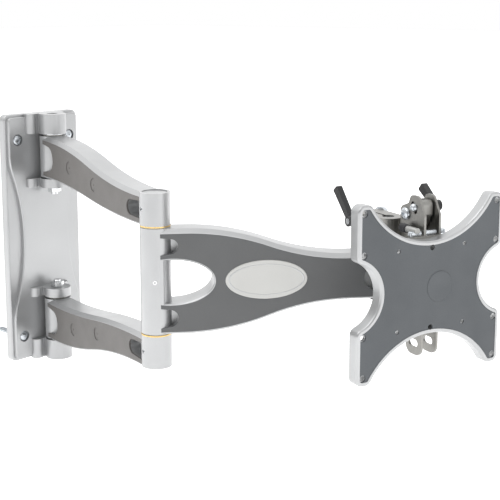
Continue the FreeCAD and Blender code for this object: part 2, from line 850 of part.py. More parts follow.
SCOOP_DEPTH = "sizes.arm_thickness / 2 - sizes.arm_web / 2"
WEB_DEPTH = f"{SCOOP_DEPTH} - sizes.cover_thickness"


def make_inner_arm(label, side):
    body = new_body(label)
    pad(body, new_sketch(body, "XZ_Plane", 0, inner_outline(side)), "sizes.arm_thickness", symmetric=True)
    bevel_sides(body, lambda x: side * inner_middle(x))
    for curves in inner_scoops(side):
        side_pockets(body, curves, SCOOP_DEPTH)
    wall_low = BARREL_LOW if side > 0 else -BARREL_TOP
    column_low = COLUMN_LOW if side > 0 else -COLUMN_TOP
    length = size("inner_arm_length")
    pad(body, circle_sketch(body, "XY_Plane", wall_low, [(0, 0)], "sizes.barrel_radius"),
        "sizes.wall_barrel_height")
    pad(body, circle_sketch(body, "XY_Plane", column_low, [(length, 0)], "sizes.barrel_radius"),
        "sizes.column_barrel_height")
    pocket(body, circle_sketch(body, "XY_Plane", 0, [(0, 0)], "sizes.bolt_radius + sizes.bush_wall"),
           "sizes.plate_height", symmetric=True)
    pocket(body, circle_sketch(body, "XY_Plane", 0, [(length, 0)], "sizes.column_shaft_radius"),
           "sizes.plate_height", symmetric=True)
    cap_seat = circle_sketch(body, "XY_Plane", side * COLUMN_TOP, [(length, 0)],
                             "sizes.column_cap_radius + sizes.fit_clearance")
    pocket(body, cap_seat, "sizes.column_cap_height + sizes.column_cap_sink", along_normal=side < 0)
    side_pockets(body, inner_cover_outline(side, 0), "sizes.cover_thickness")
    side_pockets(body, inner_web_outline(side), WEB_DEPTH, size("cover_thickness"))
    hole_side = circle_sketch(body, "XZ_Plane", size("barrel_radius"), [(length, side * SET_SCREW_UP)],
                              "sizes.set_screw_radius")
    pocket(body, hole_side, "sizes.barrel_radius - sizes.column_shaft_radius")
    keep(body, label, INNER)


def plug_places(side):
    """Centres of the two round plugs on an inner arm's cover."""
    places = [size(share) * size("inner_arm_length") for share in ("first_plug_share", "second_plug_share")]
    return [(x, side * inner_middle(x)) for x in places]


def make_inner_covers(arm, side):
    """Left and right inset covers of one inner arm, each with two shallow plug seats."""
    half = size("arm_thickness") / 2
    for hand, face in (("right", half), ("left", -half)):
        body = new_body(f"{arm}_{hand}_cover")
        curves = inner_cover_outline(side, size("fit_clearance"))
        start = face - size("cover_thickness") if face > 0 else face
        pad(body, new_sketch(body, "XZ_Plane", start, curves), "sizes.cover_thickness")
        seats = circle_sketch(body, "XZ_Plane", face, plug_places(side), "sizes.plug_radius")
        pocket(body, seats, "sizes.plug_thickness", along_normal=face < 0)
        keep(body, f"{arm}_{hand}_cover", INNER)


def make_cover_plugs():
    """Round plugs that hide the cover screws, with a small centre dimple."""
    plugs = []
    half = size("arm_thickness") / 2
    for side in (1, -1):
        for x, z in plug_places(side):
            for face in (-half, half):
                blank = cylinder("plug_blank", "sizes.plug_radius - sizes.running_clearance", "sizes.plug_thickness")
                dimple = cylinder("plug_dimple", "sizes.plug_dimple_radius", "sizes.plug_thickness",
                                  upright(z=size("plug_thickness") - size("plug_dimple_depth")))
                plug = cut("plug", blank, dimple)
                direction = 90 if face < 0 else -90
                inside = face + size("plug_thickness") if face < 0 else face - size("plug_thickness")
                plug.Placement = Placement(Vector(x, inside, z), Rotation(Vector(1, 0, 0), direction))
                plugs.append(plug)
    group("arm_cover_plugs", plugs, INNER)


# ---------------------------------------------------------------- elbow column
def make_column():
    place = upright(x=size("inner_arm_length"))
    in_arm = INNER.multiply(place)
    reach = COLUMN_TOP - size("column_cap_height") - size("column_cap_sink")
    shaft = rod("column_shaft", "sizes.column_shaft_radius", 2 * reach)
    keep(shaft, "column_shaft", in_arm.multiply(upright(z=-reach)))
    caps = []
    screws = []
    for side in (1, -1):
        low = reach if side > 0 else -reach - size("column_cap_height")
        caps.append(cylinder("column_cap", "sizes.column_cap_radius", "sizes.column_cap_height", upright(z=low)))
        screw = cylinder("set_screw_blank", "sizes.set_screw_radius - sizes.running_clearance",
                         "sizes.barrel_radius - sizes.column_shaft_radius - sizes.set_screw_sink * 1.5")
        socket = hexagon("set_screw_socket", "sizes.set_screw_radius * 0.55", "sizes.set_screw_sink * 2")
        set_screw = cut("set_screw", screw, socket)
        set_screw.Placement = sideways(y=size("set_screw_sink") - size("barrel_radius"), z=side * SET_SCREW_UP)
        screws.append(set_screw)
    group("column_caps", caps, in_arm)
    group("column_set_screws", screws, in_arm)


# ---------------------------------------------------------------- outer arm
def outer_heights(inset):
    return (OUTER_HALF - 0.5 - inset, END_HALF - 0.5 - inset)


def outer_outline():
    """Side view of the outer arm: tall at the column, slender at the head."""
    length = size("outer_arm_length")
    start = size("outer_shoulder")
    end = length - size("outer_tail")
    tall, slender = outer_heights(0)
    return [
        line((0, tall), (start, tall)),
        *ease((start, tall), (end, slender)),
        line((end, slender), (length, slender)),
        line((length, slender), (length, -slender)),
        line((length, -slender), (end, -slender)),
        *ease((end, -slender), (start, -tall)),
        line((start, -tall), (0, -tall)),
        line((0, -tall), (0, tall)),
    ]


def window_curve(grow, start):
    """Half-ellipse round the window from (start, +) by its tip to (start, -)."""
    reach = size("window_length") - size("barrel_radius") + grow
    half = size("window_height") / 2 + grow
    centre = flat(size("barrel_radius"), 0)
    ellipse = Part.Ellipse(centre, reach, half)
    at = math.acos((start - size("barrel_radius")) / reach)
    curve = Part.ArcOfEllipse(ellipse, -at, at)
    return curve, half * math.sin(at)


def window_outline():
    curve, half = window_curve(0, size("barrel_radius"))
    inside = size("barrel_radius") / 2
    start = size("barrel_radius")
    return [curve, line((start, half), (inside, half)), line((inside, half), (inside, -half)),
            line((inside, -half), (start, -half))]


def outer_cover_outline(shrink):
    """C-shaped cover: a fingered end on each prong, the window's border and a scooped far end."""
    length = size("outer_arm_length")
    tip = size("cover_tip") + shrink
    start = size("outer_shoulder")
    end = length - size("outer_tail")
    tall, slender = outer_heights(size("cover_top_margin") + shrink)
    low_tall, low_slender = outer_heights(size("cover_bottom_margin") + shrink)
    window, half = window_curve(size("window_border") + shrink, tip)
    far = length - size("cover_tip") - shrink
    depth = size("prong_scoop")
    return [
        line((tip, tall), (start, tall)),
        *ease((start, tall), (end, slender)),
        line((end, slender), (far, slender)),
        *bite((far, slender), (far, -low_slender), -size("far_scoop")),
        line((far, -low_slender), (end, -low_slender)),
        *ease((end, -low_slender), (start, -low_tall)),
        line((start, -low_tall), (tip, -low_tall)),
        *bite((tip, -low_tall), (tip, -half), depth),
        window,
        *bite((tip, half), (tip, tall), depth),
    ]


def outer_scoops():
    """Outlines of the hollows beside the outer arm's two barrels."""
    tip = size("cover_tip")
    far = size("outer_arm_length") - tip
    tall, slender = outer_heights(size("cover_top_margin"))
    low_tall, low_slender = outer_heights(size("cover_bottom_margin"))
    half = window_curve(size("window_border"), tip)[1]
    ends = [((tip, half), (tip, tall), size("prong_scoop")),
            ((tip, -low_tall), (tip, -half), size("prong_scoop")),
            ((far, slender), (far, -low_slender), -size("far_scoop"))]
    return [hollow(first, last, depth) for first, last, depth in ends]


def outer_web_outline():
    """Deeper recess under the cover between the window's border and the far scoop."""
    length = size("outer_arm_length")
    start = size("window_length") + size("window_border") + 3 * size("web_border")
    end = length - size("cover_tip") - size("far_scoop") - size("web_border")
    tall, slender = outer_heights(size("cover_top_margin") + size("web_border"))
    middle = (tall + slender) / 2
    return [
        *ease((start, middle), (end, slender)),
        line((end, slender), (end, -slender)),
        *ease((end, -slender), (start, -middle)),
        line((start, -middle), (start, middle)),
    ]


def badge_outline(grow):
    ellipse = Part.Ellipse(flat(size("badge_place"), 0), size("badge_length") / 2 + grow,
                           size("badge_height") / 2 + grow)
    return [ellipse]


def make_outer_arm():
    body = new_body("outer_arm")
    length = size("outer_arm_length")
    pad(body, new_sketch(body, "XZ_Plane", 0, outer_outline()), "sizes.arm_thickness", symmetric=True)
    bevel_sides(body, lambda x: 0)
    for curves in outer_scoops():
        side_pockets(body, curves, SCOOP_DEPTH)
    pocket(body, new_sketch(body, "XZ_Plane", 0, window_outline()), "sizes.arm_thickness * 2", symmetric=True)

    def window_edge(edge):
        box = edge.BoundBox
        on_side = abs(abs(box.YMin) - size("arm_thickness") / 2) < 1e-4 and box.YLength < 1e-4
        return on_side and box.ZMax < size("window_height") / 2 + 1 and box.XMax < size("window_length") + 1 \
            and box.ZMin > -size("window_height") / 2 - 1 and box.XMin > 1

    dress(body, "Chamfer", window_edge, "sizes.window_bevel")
    pad(body, circle_sketch(body, "XY_Plane", -OUTER_HALF, [(0, 0)], "sizes.barrel_radius"),
        "sizes.outer_barrel_height")
    pad(body, circle_sketch(body, "XY_Plane", -END_HALF, [(length, 0)], "sizes.barrel_radius"),
        "sizes.end_barrel_height")
    pocket(body, circle_sketch(body, "XY_Plane", 0, [(0, 0)], "sizes.column_shaft_radius + sizes.bush_wall"),
           "sizes.plate_height", symmetric=True)
    pocket(body, circle_sketch(body, "XY_Plane", 0, [(length, 0)], "sizes.swivel_pin_radius + sizes.bush_wall"),
           "sizes.plate_height", symmetric=True)
    side_pockets(body, outer_cover_outline(0), "sizes.cover_thickness")
    side_pockets(body, outer_web_outline(), WEB_DEPTH, size("cover_thickness"))
    keep(body, "outer_arm", OUTER)


def make_outer_covers():
    half = size("arm_thickness") / 2
    for hand, face in (("right", half), ("left", -half)):
        body = new_body(f"outer_arm_{hand}_cover")
        start = face - size("cover_thickness") if face > 0 else face
        pad(body, new_sketch(body, "XZ_Plane", start, outer_cover_outline(size("fit_clearance"))),
            "sizes.cover_thickness")
        if hand == "right":
            seat = new_sketch(body, "XZ_Plane", face, badge_outline(size("running_clearance")))
            pocket(body, seat, "sizes.badge_thickness - sizes.badge_stand")
        keep(body, f"outer_arm_{hand}_cover", OUTER)
    badge = new_body("arm_badge")
    front = half + size("badge_stand")
    pad(badge, new_sketch(badge, "XZ_Plane", front - size("badge_thickness"), badge_outline(0)),
        "sizes.badge_thickness")
    dress(badge, "Fillet", flat_at("Y", -front), "sizes.badge_rim")
    keep(badge, "arm_badge", OUTER)


# ---------------------------------------------------------------- swivel at the outer arm's end
def make_swivel_pin():
    """Upright pin that the yoke's two collars hold and the arm's end barrel turns on."""
    sink = size("swivel_pin_sink")
    pin = rod("swivel_pin", "sizes.swivel_pin_radius", UPPER_COLLAR_TOP + LOWER_COLLAR_LOW - 2 * sink)
    keep(pin, "swivel_pin", HEAD.multiply(upright(z=sink - LOWER_COLLAR_LOW)))


def make_swivel_washers():
    washers = []
    face = END_HALF + size("bush_flange") + size("washer_clearance")
    for low in (face, -face - size("swivel_washer_height")):
        washers.append(ring("swivel_washer", "sizes.swivel_washer_radius",
                            "sizes.swivel_pin_radius + sizes.fit_clearance", "sizes.swivel_washer_height",
                            upright(z=low)))
    group("swivel_washers", washers, HEAD)


def yoke_outline():
    """Side view of the yoke: a C round the arm's end barrel and a nose that carries the tilt bolts."""
    inside = size("swivel_washer_radius") + size("yoke_gap")
    front = inside + size("yoke_spine")
    nose = size("tilt_bolt_radius") + size("yoke_nose")
    corner = size("yoke_corner")
    low = size("swivel_pin_sink") * 2 - LOWER_COLLAR_LOW
    high = UPPER_COLLAR_TOP - size("swivel_pin_sink")
    return rounded([
        (0, COLLAR_LOW, 0),
        (inside, COLLAR_LOW, 0),
        (inside, -COLLAR_LOW, 0),
        (0, -COLLAR_LOW, 0),
        (0, low, 0),
        (front - corner, low, corner * 2 / 3),
        (front, -COLLAR_LOW, corner),
        (front, COLLAR_LOW, 2 * corner),
        (TILT_CLAMP_X + nose, TILT_CLAMP_Z - nose, corner),
        (TILT_CLAMP_X + nose, TILT_CLAMP_Z + nose, corner),
        (TILT_CLAMP_X - nose, TILT_CLAMP_Z + nose, corner),
        (TILT_X - nose, TILT_Z + nose, corner),
        (front - 2 * corner, high, corner),
        (0, high, 0),
    ])


def make_swivel_yoke():
    body = new_body("swivel_yoke")
    pad(body, new_sketch(body, "XZ_Plane", -size("head_offset"), yoke_outline()), "sizes.yoke_width", symmetric=True)
    pad(body, circle_sketch(body, "XY_Plane", COLLAR_LOW, [(0, 0)], "sizes.barrel_radius - sizes.collar_step"),
        "sizes.upper_collar_height")
    half_width = size("clamp_ear_width") / 2
    top = UPPER_COLLAR_TOP
    ear = rectangle(-size("clamp_ear_reach"), top - size("clamp_ear_height"), 0, top, 0)
    pad(body, new_sketch(body, "XZ_Plane", 0, ear), "sizes.clamp_ear_width", symmetric=True)
    cone = body.newObject("PartDesign::AdditiveCone", "lower_collar")
    cone.setExpression("Radius1", "sizes.lower_collar_small_radius")
    cone.setExpression("Radius2", "sizes.barrel_radius - sizes.collar_step")
    cone.setExpression("Height", "sizes.lower_collar_height")
    cone.Placement = upright(z=-LOWER_COLLAR_LOW)
    doc.recompute()
    slit_curves = rectangle(-size("clamp_ear_reach") - 1, -size("clamp_slit") / 2, 0, size("clamp_slit") / 2)
    slit = new_sketch(body, "XY_Plane", top, slit_curves)
    pocket(body, slit, "sizes.clamp_ear_height")
    pocket(body, circle_sketch(body, "XY_Plane", 0, [(0, 0)], "sizes.swivel_pin_radius"), "sizes.plate_height",
           symmetric=True)
    clamp_hole = circle_sketch(body, "XZ_Plane", 0, [(-size("clamp_bolt_place"), CLAMP_HEIGHT)],
                               "sizes.clamp_bolt_radius + sizes.fit_clearance")
    pocket(body, clamp_hole, "sizes.clamp_ear_width * 2", symmetric=True)
    tilt_hole = circle_sketch(body, "XZ_Plane", 0, [(TILT_X, TILT_Z)],
                              "sizes.tilt_bolt_radius + sizes.fit_clearance")
    pocket(body, tilt_hole, "sizes.bracket_width", symmetric=True)
    tilt_clamp_hole = circle_sketch(body, "XZ_Plane", 0, [(TILT_CLAMP_X, TILT_CLAMP_Z)],
                                    "sizes.tilt_bolt_radius + sizes.fit_clearance")
    pocket(body, tilt_clamp_hole, "sizes.bracket_width", symmetric=True)
    at_ear_end = flat_at("X", -size("clamp_ear_reach"))
    dress(body, "Fillet", lambda edge: at_ear_end(edge) and edge.BoundBox.YLength > half_width / 2,
          "sizes.clamp_corner")
    keep(body, "swivel_yoke", HEAD)


def make_clamp_bolt():
    """Swivel clamp: bolt across the split ears, ribbed round nut on one end, lever on the other."""
    half = size("clamp_ear_width") / 2
    x = -size("clamp_bolt_place")
    play = size("end_play")
    reach = half + size("lever_hub_height") + 2 * play
    bolt = rod("swivel_clamp_bolt", "sizes.clamp_bolt_radius", reach + half + size("clamp_disc_height") + 2 * play)
    keep(bolt, "swivel_clamp_bolt", HEAD.multiply(sideways(x, -reach, CLAMP_HEIGHT)))
    disc = ring("swivel_clamp_nut", "sizes.clamp_disc_radius", "sizes.clamp_bolt_radius", "sizes.clamp_disc_height")
    keep(disc, "swivel_clamp_nut", HEAD.multiply(sideways(x, half + play, CLAMP_HEIGHT)))


def make_lever(label, length, bolt_radius, place):
    """Clamp lever: round hub with a bore and a flat handle that widens to a square end."""
    body = new_body(label)
    pad(body, circle_sketch(body, "XY_Plane", 0, [(0, 0)], "sizes.lever_hub_radius"), "sizes.lever_hub_height")
    end = size("lever_end_half")
    corner = size("lever_end_corner")
    handle = rounded([
        (0, -size("lever_root_half"), 0),
        (size(length), -end, corner),
        (size(length), end, corner),
        (0, size("lever_root_half"), 0),
    ])
    pad(body, new_sketch(body, "XY_Plane", size("lever_step"), handle),
        "sizes.lever_hub_height - 3 * sizes.lever_step")
    pocket(body, circle_sketch(body, "XY_Plane", 0, [(0, 0)], f"{bolt_radius} + sizes.running_clearance"),
           "sizes.lever_hub_height * 3", symmetric=True)
    keep(body, label, place)


def make_levers():
    """Swivel lever on the clamp bolt's right end; tilt lever on the tilt clamp bolt's left end."""
    right_face = -size("clamp_ear_width") / 2 - size("end_play")
    turn = Rotation(Vector(0, 1, 0), size("lever_angle") + 180).multiply(Rotation(Vector(1, 0, 0), 90))
    place = Placement(Vector(-size("clamp_bolt_place"), right_face, CLAMP_HEIGHT), turn)
    make_lever("swivel_lever", "swivel_lever_length", "sizes.clamp_bolt_radius", HEAD.multiply(place))
    left_face = size("head_offset") + CHEEK_OUTSIDE + size("end_play") + size("tilt_nut_gap")
    back = Rotation(Vector(0, 1, 0), size("tilt_lever_angle") - 180).multiply(Rotation(Vector(1, 0, 0), -90))
    tilt_place = Placement(Vector(TILT_CLAMP_X, left_face, TILT_CLAMP_Z), back)
    make_lever("tilt_lever", "tilt_lever_length", "sizes.tilt_bolt_radius", HEAD.multiply(tilt_place))


# ---------------------------------------------------------------- tilt head
def cheek_outline():
    """Side view of a bracket cheek: a peaked top round the tilt bolts, a waist and a round lower ear."""
    back = BRACKET_BACK + size("cheek_thickness") / 2
    radius = size("ear_radius")
    waist = back - 14
    peak = TILT_CLAMP_Z + 15
    left = TILT_X - 12
    ear_low = EAR_Z - radius
    return rounded([
        (back, ear_low + 12, 0),
        (EAR_X + radius, ear_low, 11),
        (EAR_X - radius, ear_low, 11),
        (EAR_X - radius, EAR_Z + 12, 8),
        (waist, EAR_Z + 26, 8),
        (waist, TILT_Z - 44, 10),
        (left, TILT_Z - 16, 5),
        (left, TILT_Z + 8, 8),
        (TILT_CLAMP_X - 12, TILT_CLAMP_Z + 4, 4),
        (TILT_CLAMP_X - 8, peak, 7),
        (TILT_CLAMP_X + 8, peak, 7),
        (back, TILT_CLAMP_Z - 8, 5),
    ])


def make_tilt_bracket():
    body = new_body("tilt_bracket")
    half = size("bracket_width") / 2
    height = size("screen_waist_height") / 2 + size("bracket_overlap")
    base = new_sketch(body, "YZ_Plane", BRACKET_BACK,
                      rectangle(-half, -height, half, height, size("bracket_corner")))
    pad(body, base, "sizes.cheek_thickness")
    slot_span = size("tilt_range")
    clamp_slot = arc_slot((TILT_X, TILT_Z), size("tilt_clamp_radius"), size("tilt_clamp_angle") - slot_span,
                          size("tilt_clamp_angle") + slot_span, size("tilt_bolt_radius") + 2 * size("fit_clearance"))
    for side in (1, -1):
        start = (CHEEK_INSIDE if side > 0 else -CHEEK_OUTSIDE) - size("head_offset")
        pad(body, new_sketch(body, "XZ_Plane", start, cheek_outline()), "sizes.cheek_thickness")
    pocket(body, new_sketch(body, "XZ_Plane", 0, clamp_slot), "sizes.bracket_width", symmetric=True)
    ear_slot = new_sketch(body, "XZ_Plane", 0, slot_outline((EAR_X, EAR_Z), size("ear_slot_length"),
                                                               size("ear_slot_radius")))
    pocket(body, ear_slot, "sizes.bracket_width", symmetric=True)
    axis_hole = circle_sketch(body, "XZ_Plane", 0, [(TILT_X, TILT_Z)],
                              "sizes.tilt_bolt_radius + sizes.running_clearance")
    pocket(body, axis_hole, "sizes.bracket_width", symmetric=True)
    holes = circle_sketch(body, "YZ_Plane", SCREEN_BACK, plate_screw_places(), "sizes.plate_screw_radius")
    pocket(body, holes, "sizes.cheek_thickness")
    keep(body, "tilt_bracket", HEAD)


def plate_screw_places():
    across = size("bracket_width") / 2 - size("plate_screw_side")
    up = size("screen_waist_height") / 2 - size("plate_screw_drop")
    return [(y, z) for y in (-across, size("head_offset")) for z in (-up, up)]


def make_tilt_bolts():
    """Tilt axle with a domed head, and the clamp bolt that runs in the curved slots."""
    play = size("end_play")
    half = CHEEK_OUTSIDE + play
    right = size("head_offset") - half
    for label, x, z, extra, head_radius in (
            ("tilt_axle", TILT_X, TILT_Z, size("tilt_nut_height") + 1, "sizes.tilt_head_radius"),
            ("tilt_clamp_bolt", TILT_CLAMP_X, TILT_CLAMP_Z,
             size("lever_hub_height") + size("tilt_nut_gap") + play, "sizes.tilt_clamp_head_radius")):
        shank = rod(f"{label}_shank", "sizes.tilt_bolt_radius", 2 * half + extra)
        head = dome(f"{label}_head", head_radius, "sizes.tilt_head_height",
                    Placement(Vector(), Rotation(Vector(1, 0, 0), 180)))
        keep(fuse(label, shank, head), label, HEAD.multiply(sideways(x, right, z)))
    nut = cut("tilt_axle_nut", hexagon("tilt_nut_blank", "sizes.tilt_nut_circumradius", "sizes.tilt_nut_height"),
              cylinder("tilt_nut_bore", "sizes.tilt_bolt_radius", "sizes.tilt_nut_height"))
    keep(nut, "tilt_axle_nut", HEAD.multiply(sideways(TILT_X, size("head_offset") + half, TILT_Z)))


# ---------------------------------------------------------------- screen plate
def screen_face():
    """X-shaped plate: four lobes between large hollows above and below and small ones at the sides."""
    half_width = size("screen_width") / 2
    half_height = size("screen_height") / 2
    blank = Part.Face(Part.Wire([curve.toShape() for curve in
                                 rectangle(-half_width, -half_height, half_width, half_height)]))

    def chord_radius(half_chord, depth):
        return (half_chord ** 2 + depth ** 2) / (2 * depth)

    top_radius = chord_radius(size("screen_lobe_flat"), half_height - size("screen_waist_height") / 2)
    side_radius = chord_radius(size("screen_side_flat"), half_width - size("screen_waist_width") / 2)
    top = size("screen_waist_height") / 2 + top_radius
    side = size("screen_waist_width") / 2 + side_radius
    for centre, radius in ((flat(0, top), top_radius), (flat(0, -top), top_radius),
                           (flat(side, 0), side_radius), (flat(-side, 0), side_radius)):
        disc = Part.Face(Part.Wire(Part.Circle(centre, Vector(0, 0, 1), radius).toShape()))
        blank = blank.cut(disc)
    corner = size("screen_corner")
    face = blank.Faces[0]
    face = face.makeOffset2D(-corner).Faces[0].makeOffset2D(corner).Faces[0]
    return face.makeOffset2D(corner).Faces[0].makeOffset2D(-corner).Faces[0]


def screen_outline(inset):
    face = screen_face()
    if inset:
        face = face.makeOffset2D(-inset).Faces[0]
    return outline_of(face.OuterWire)


def vesa_places(width, height):
    return [(y, z) for y in (-width / 2, width / 2) for z in (-height / 2, height / 2)]


def drill_screen_holes(body, front, depth, gap="0"):
    """Fixing holes of both screen patterns, the half pattern between them and two centre holes."""
    wide = size("vesa_wide")
    narrow = size("vesa_narrow")
    wide_places = vesa_places(wide, wide) + vesa_places(wide, narrow)
    pocket(body, circle_sketch(body, "YZ_Plane", front, wide_places, f"sizes.vesa_wide_hole + {gap}"), depth)
    narrow_holes = circle_sketch(body, "YZ_Plane", front, vesa_places(narrow, narrow), "sizes.vesa_narrow_hole")
    pocket(body, narrow_holes, depth)
    centre = [(0, -narrow / 2), (0, narrow / 2)]
    pocket(body, circle_sketch(body, "YZ_Plane", front, centre, "sizes.centre_hole"), depth)


def make_screen_plate():
    body = new_body("screen_plate")
    front = size("head_depth")
    pad(body, new_sketch(body, "YZ_Plane", SCREEN_BACK, screen_outline(0)), "sizes.screen_thickness")
    dress(body, "Fillet", flat_at("X", front), "sizes.screen_rim")
    recess = new_sketch(body, "YZ_Plane", front, screen_outline(size("face_border")))
    pocket(body, recess, "sizes.face_thickness")
    margin = size("bracket_overlap")
    block = size("bracket_width") / 2 + 2 * margin
    hollow_curves = screen_outline(size("screen_wall"))
    half_block = size("screen_waist_height") / 2 - size("screen_wall")
    hollow_depth = "sizes.screen_thickness - sizes.face_thickness - sizes.screen_skin"
    solid_block = rectangle(-block, margin - half_block, block, half_block - margin)
    recess_back = new_sketch(body, "YZ_Plane", SCREEN_BACK, hollow_curves + solid_block)
    pocket(body, recess_back, hollow_depth, along_normal=True)
    drill_screen_holes(body, front, "sizes.screen_thickness * 0.5")
    taps = circle_sketch(body, "YZ_Plane", SCREEN_BACK, plate_screw_places(), "sizes.plate_screw_radius")
    pocket(body, taps, "sizes.plate_tap_depth", along_normal=True)
    keep(body, "screen_plate", HEAD)


def make_screen_face():
    body = new_body("screen_face")
    front = size("head_depth") - size("face_sink")
    outline = screen_outline(size("face_border") + size("fit_clearance"))
    back = size("head_depth") - size("face_thickness")
    pad(body, new_sketch(body, "YZ_Plane", back, outline), "sizes.face_thickness - sizes.face_sink")
    drill_screen_holes(body, front, "sizes.face_thickness * 2", "sizes.face_hole_gap")
    seat = circle_sketch(body, "YZ_Plane", front, [(size("cap_offset"), 0)],
                         "sizes.cap_radius + sizes.running_clearance")
    pocket(body, seat, "sizes.cap_height - sizes.face_sink")
    keep(body, "screen_face", HEAD)
    cap = new_body("face_cap")
    cap_back = front - size("cap_height") + size("face_sink")
    pad(cap, circle_sketch(cap, "YZ_Plane", cap_back, [(size("cap_offset"), 0)], "sizes.cap_radius"),
        "sizes.cap_height")
    dress(cap, "Fillet", flat_at("X", cap_back + size("cap_height")), "sizes.cap_rim")
    keep(cap, "face_cap", HEAD)


def make_plate_screws():
    screws = []
    for y, z in plate_screw_places():
        shank = cylinder("plate_screw_shank", "sizes.plate_screw_radius",
                         "sizes.cheek_thickness + sizes.plate_screw_depth")
        head = dome("plate_screw_head", "sizes.plate_screw_head_radius", "sizes.plate_screw_head_height",
                    Placement(Vector(), Rotation(Vector(1, 0, 0), 180)))
        screw = fuse("plate_screw", shank, head)
        screw.Placement = Placement(Vector(BRACKET_BACK, y, z), Rotation(Vector(0, 1, 0), 90))
        screws.append(screw)
    group("bracket_screws", screws, HEAD)


# ---------------------------------------------------------------- build everything
make_wall_plate()
make_lag_screws()
make_pivot_bolts()
make_hinge_rings("wall_pivot_washers", "sizes.bolt_radius", "sizes.pivot_ring_radius",
                 [(LEDGE_TOP, 1), (BOSS_LOW, -1), (-LEDGE_TOP, -1), (-BOSS_LOW, 1)], PIVOT)
for arm, arm_side in (("upper_arm", 1), ("lower_arm", -1)):
    make_inner_arm(arm, arm_side)
    make_inner_covers(arm, arm_side)
make_cover_plugs()
make_bushes("wall_pivot_bushes", "sizes.bolt_radius", "sizes.pivot_ring_radius",
            [(BARREL_TOP, 1), (BARREL_LOW, -1), (-BARREL_LOW, 1), (-BARREL_TOP, -1)], [0], INNER)
make_column()
ELBOW_IN_ARM = INNER.multiply(upright(x=size("inner_arm_length")))
make_hinge_rings("elbow_washers", "sizes.column_shaft_radius", "sizes.barrel_radius",
                 [(COLUMN_LOW, -1), (-COLUMN_LOW, 1)], ELBOW_IN_ARM)
make_outer_arm()
make_outer_covers()
make_bushes("elbow_bushes", "sizes.column_shaft_radius", "sizes.barrel_radius - sizes.flange_step",
            [(OUTER_HALF, 1), (-OUTER_HALF, -1)], [0], OUTER)
make_bushes("swivel_bushes", "sizes.swivel_pin_radius", "sizes.barrel_radius - sizes.flange_step",
            [(END_HALF, 1), (-END_HALF, -1)], [size("outer_arm_length")], OUTER)
make_swivel_pin()
make_swivel_washers()
make_swivel_yoke()
make_clamp_bolt()
make_levers()
make_tilt_bracket()
make_tilt_bolts()
make_screen_plate()
make_screen_face()
make_plate_screws()

doc.recompute()
for item in doc.Objects:
    if "Invalid" in item.State or "Error" in item.State:
        raise ValueError(f"{item.Label} failed to build: {item.State}")
os.makedirs("parts", exist_ok=True)
for item in SUBPARTS:
    if item.Shape.isNull() or not item.Shape.isValid():
        raise ValueError(f"{item.Label} has no valid shape")
    item.Shape.exportStep(os.path.join("parts", f"{item.Label}.step"))
    print(f"{item.Label}: {len(item.Shape.Solids)} solid(s), {item.Shape.Volume / 1000:.1f} cm3")
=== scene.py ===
import json
import math

import bmesh
import bpy
from bpy.props import FloatProperty, FloatVectorProperty, PointerProperty
from bpy.types import Operator, Panel, PropertyGroup
from mathutils import Matrix, Vector


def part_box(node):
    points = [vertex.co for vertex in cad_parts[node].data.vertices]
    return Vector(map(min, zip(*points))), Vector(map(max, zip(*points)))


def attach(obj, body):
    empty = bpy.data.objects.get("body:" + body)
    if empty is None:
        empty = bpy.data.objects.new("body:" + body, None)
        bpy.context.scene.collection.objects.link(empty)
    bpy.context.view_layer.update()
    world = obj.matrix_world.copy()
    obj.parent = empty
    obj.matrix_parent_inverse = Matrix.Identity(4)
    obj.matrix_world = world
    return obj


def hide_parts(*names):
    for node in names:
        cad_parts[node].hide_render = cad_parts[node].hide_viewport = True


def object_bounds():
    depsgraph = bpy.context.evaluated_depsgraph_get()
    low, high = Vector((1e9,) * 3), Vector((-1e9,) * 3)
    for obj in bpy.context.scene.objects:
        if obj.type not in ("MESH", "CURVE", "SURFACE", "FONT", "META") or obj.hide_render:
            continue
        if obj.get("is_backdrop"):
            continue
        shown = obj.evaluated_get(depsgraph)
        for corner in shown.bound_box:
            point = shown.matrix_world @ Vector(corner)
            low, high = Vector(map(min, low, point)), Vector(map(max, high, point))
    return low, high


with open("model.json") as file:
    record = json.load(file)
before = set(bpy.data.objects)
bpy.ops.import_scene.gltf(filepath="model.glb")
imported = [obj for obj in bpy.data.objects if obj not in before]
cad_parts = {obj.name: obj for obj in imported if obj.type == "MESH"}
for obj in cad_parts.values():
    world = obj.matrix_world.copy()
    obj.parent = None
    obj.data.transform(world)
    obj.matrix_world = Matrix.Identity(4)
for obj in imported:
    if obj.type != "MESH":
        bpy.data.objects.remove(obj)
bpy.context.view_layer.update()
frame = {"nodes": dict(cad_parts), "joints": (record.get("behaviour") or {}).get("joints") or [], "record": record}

bl_info = {
    "name": "TV wall mount finishes",
    "version": (1, 0, 0),
    "blender": (4, 5, 0),
    "location": "3D View > Sidebar > Wall mount",
    "description": "Finishes, screws and stage for a full motion TV wall mount",
    "category": "Object",
}

# ---------------------------------------------------------------- places taken from the frame
UP = Vector((0, 0, 1))


def named(rows, name):
    return next(row for row in rows if row["name"] == name)


def joint_place(name):
    return Vector(named(frame["joints"], name)["pos_m"])


def axes_at(origin, forward, left):
    """Matrix with its X forward, its Y to the left and its Z up, at an origin."""
    turn = Matrix((forward, left, UP)).transposed().to_4x4()
    return Matrix.Translation(origin) @ turn


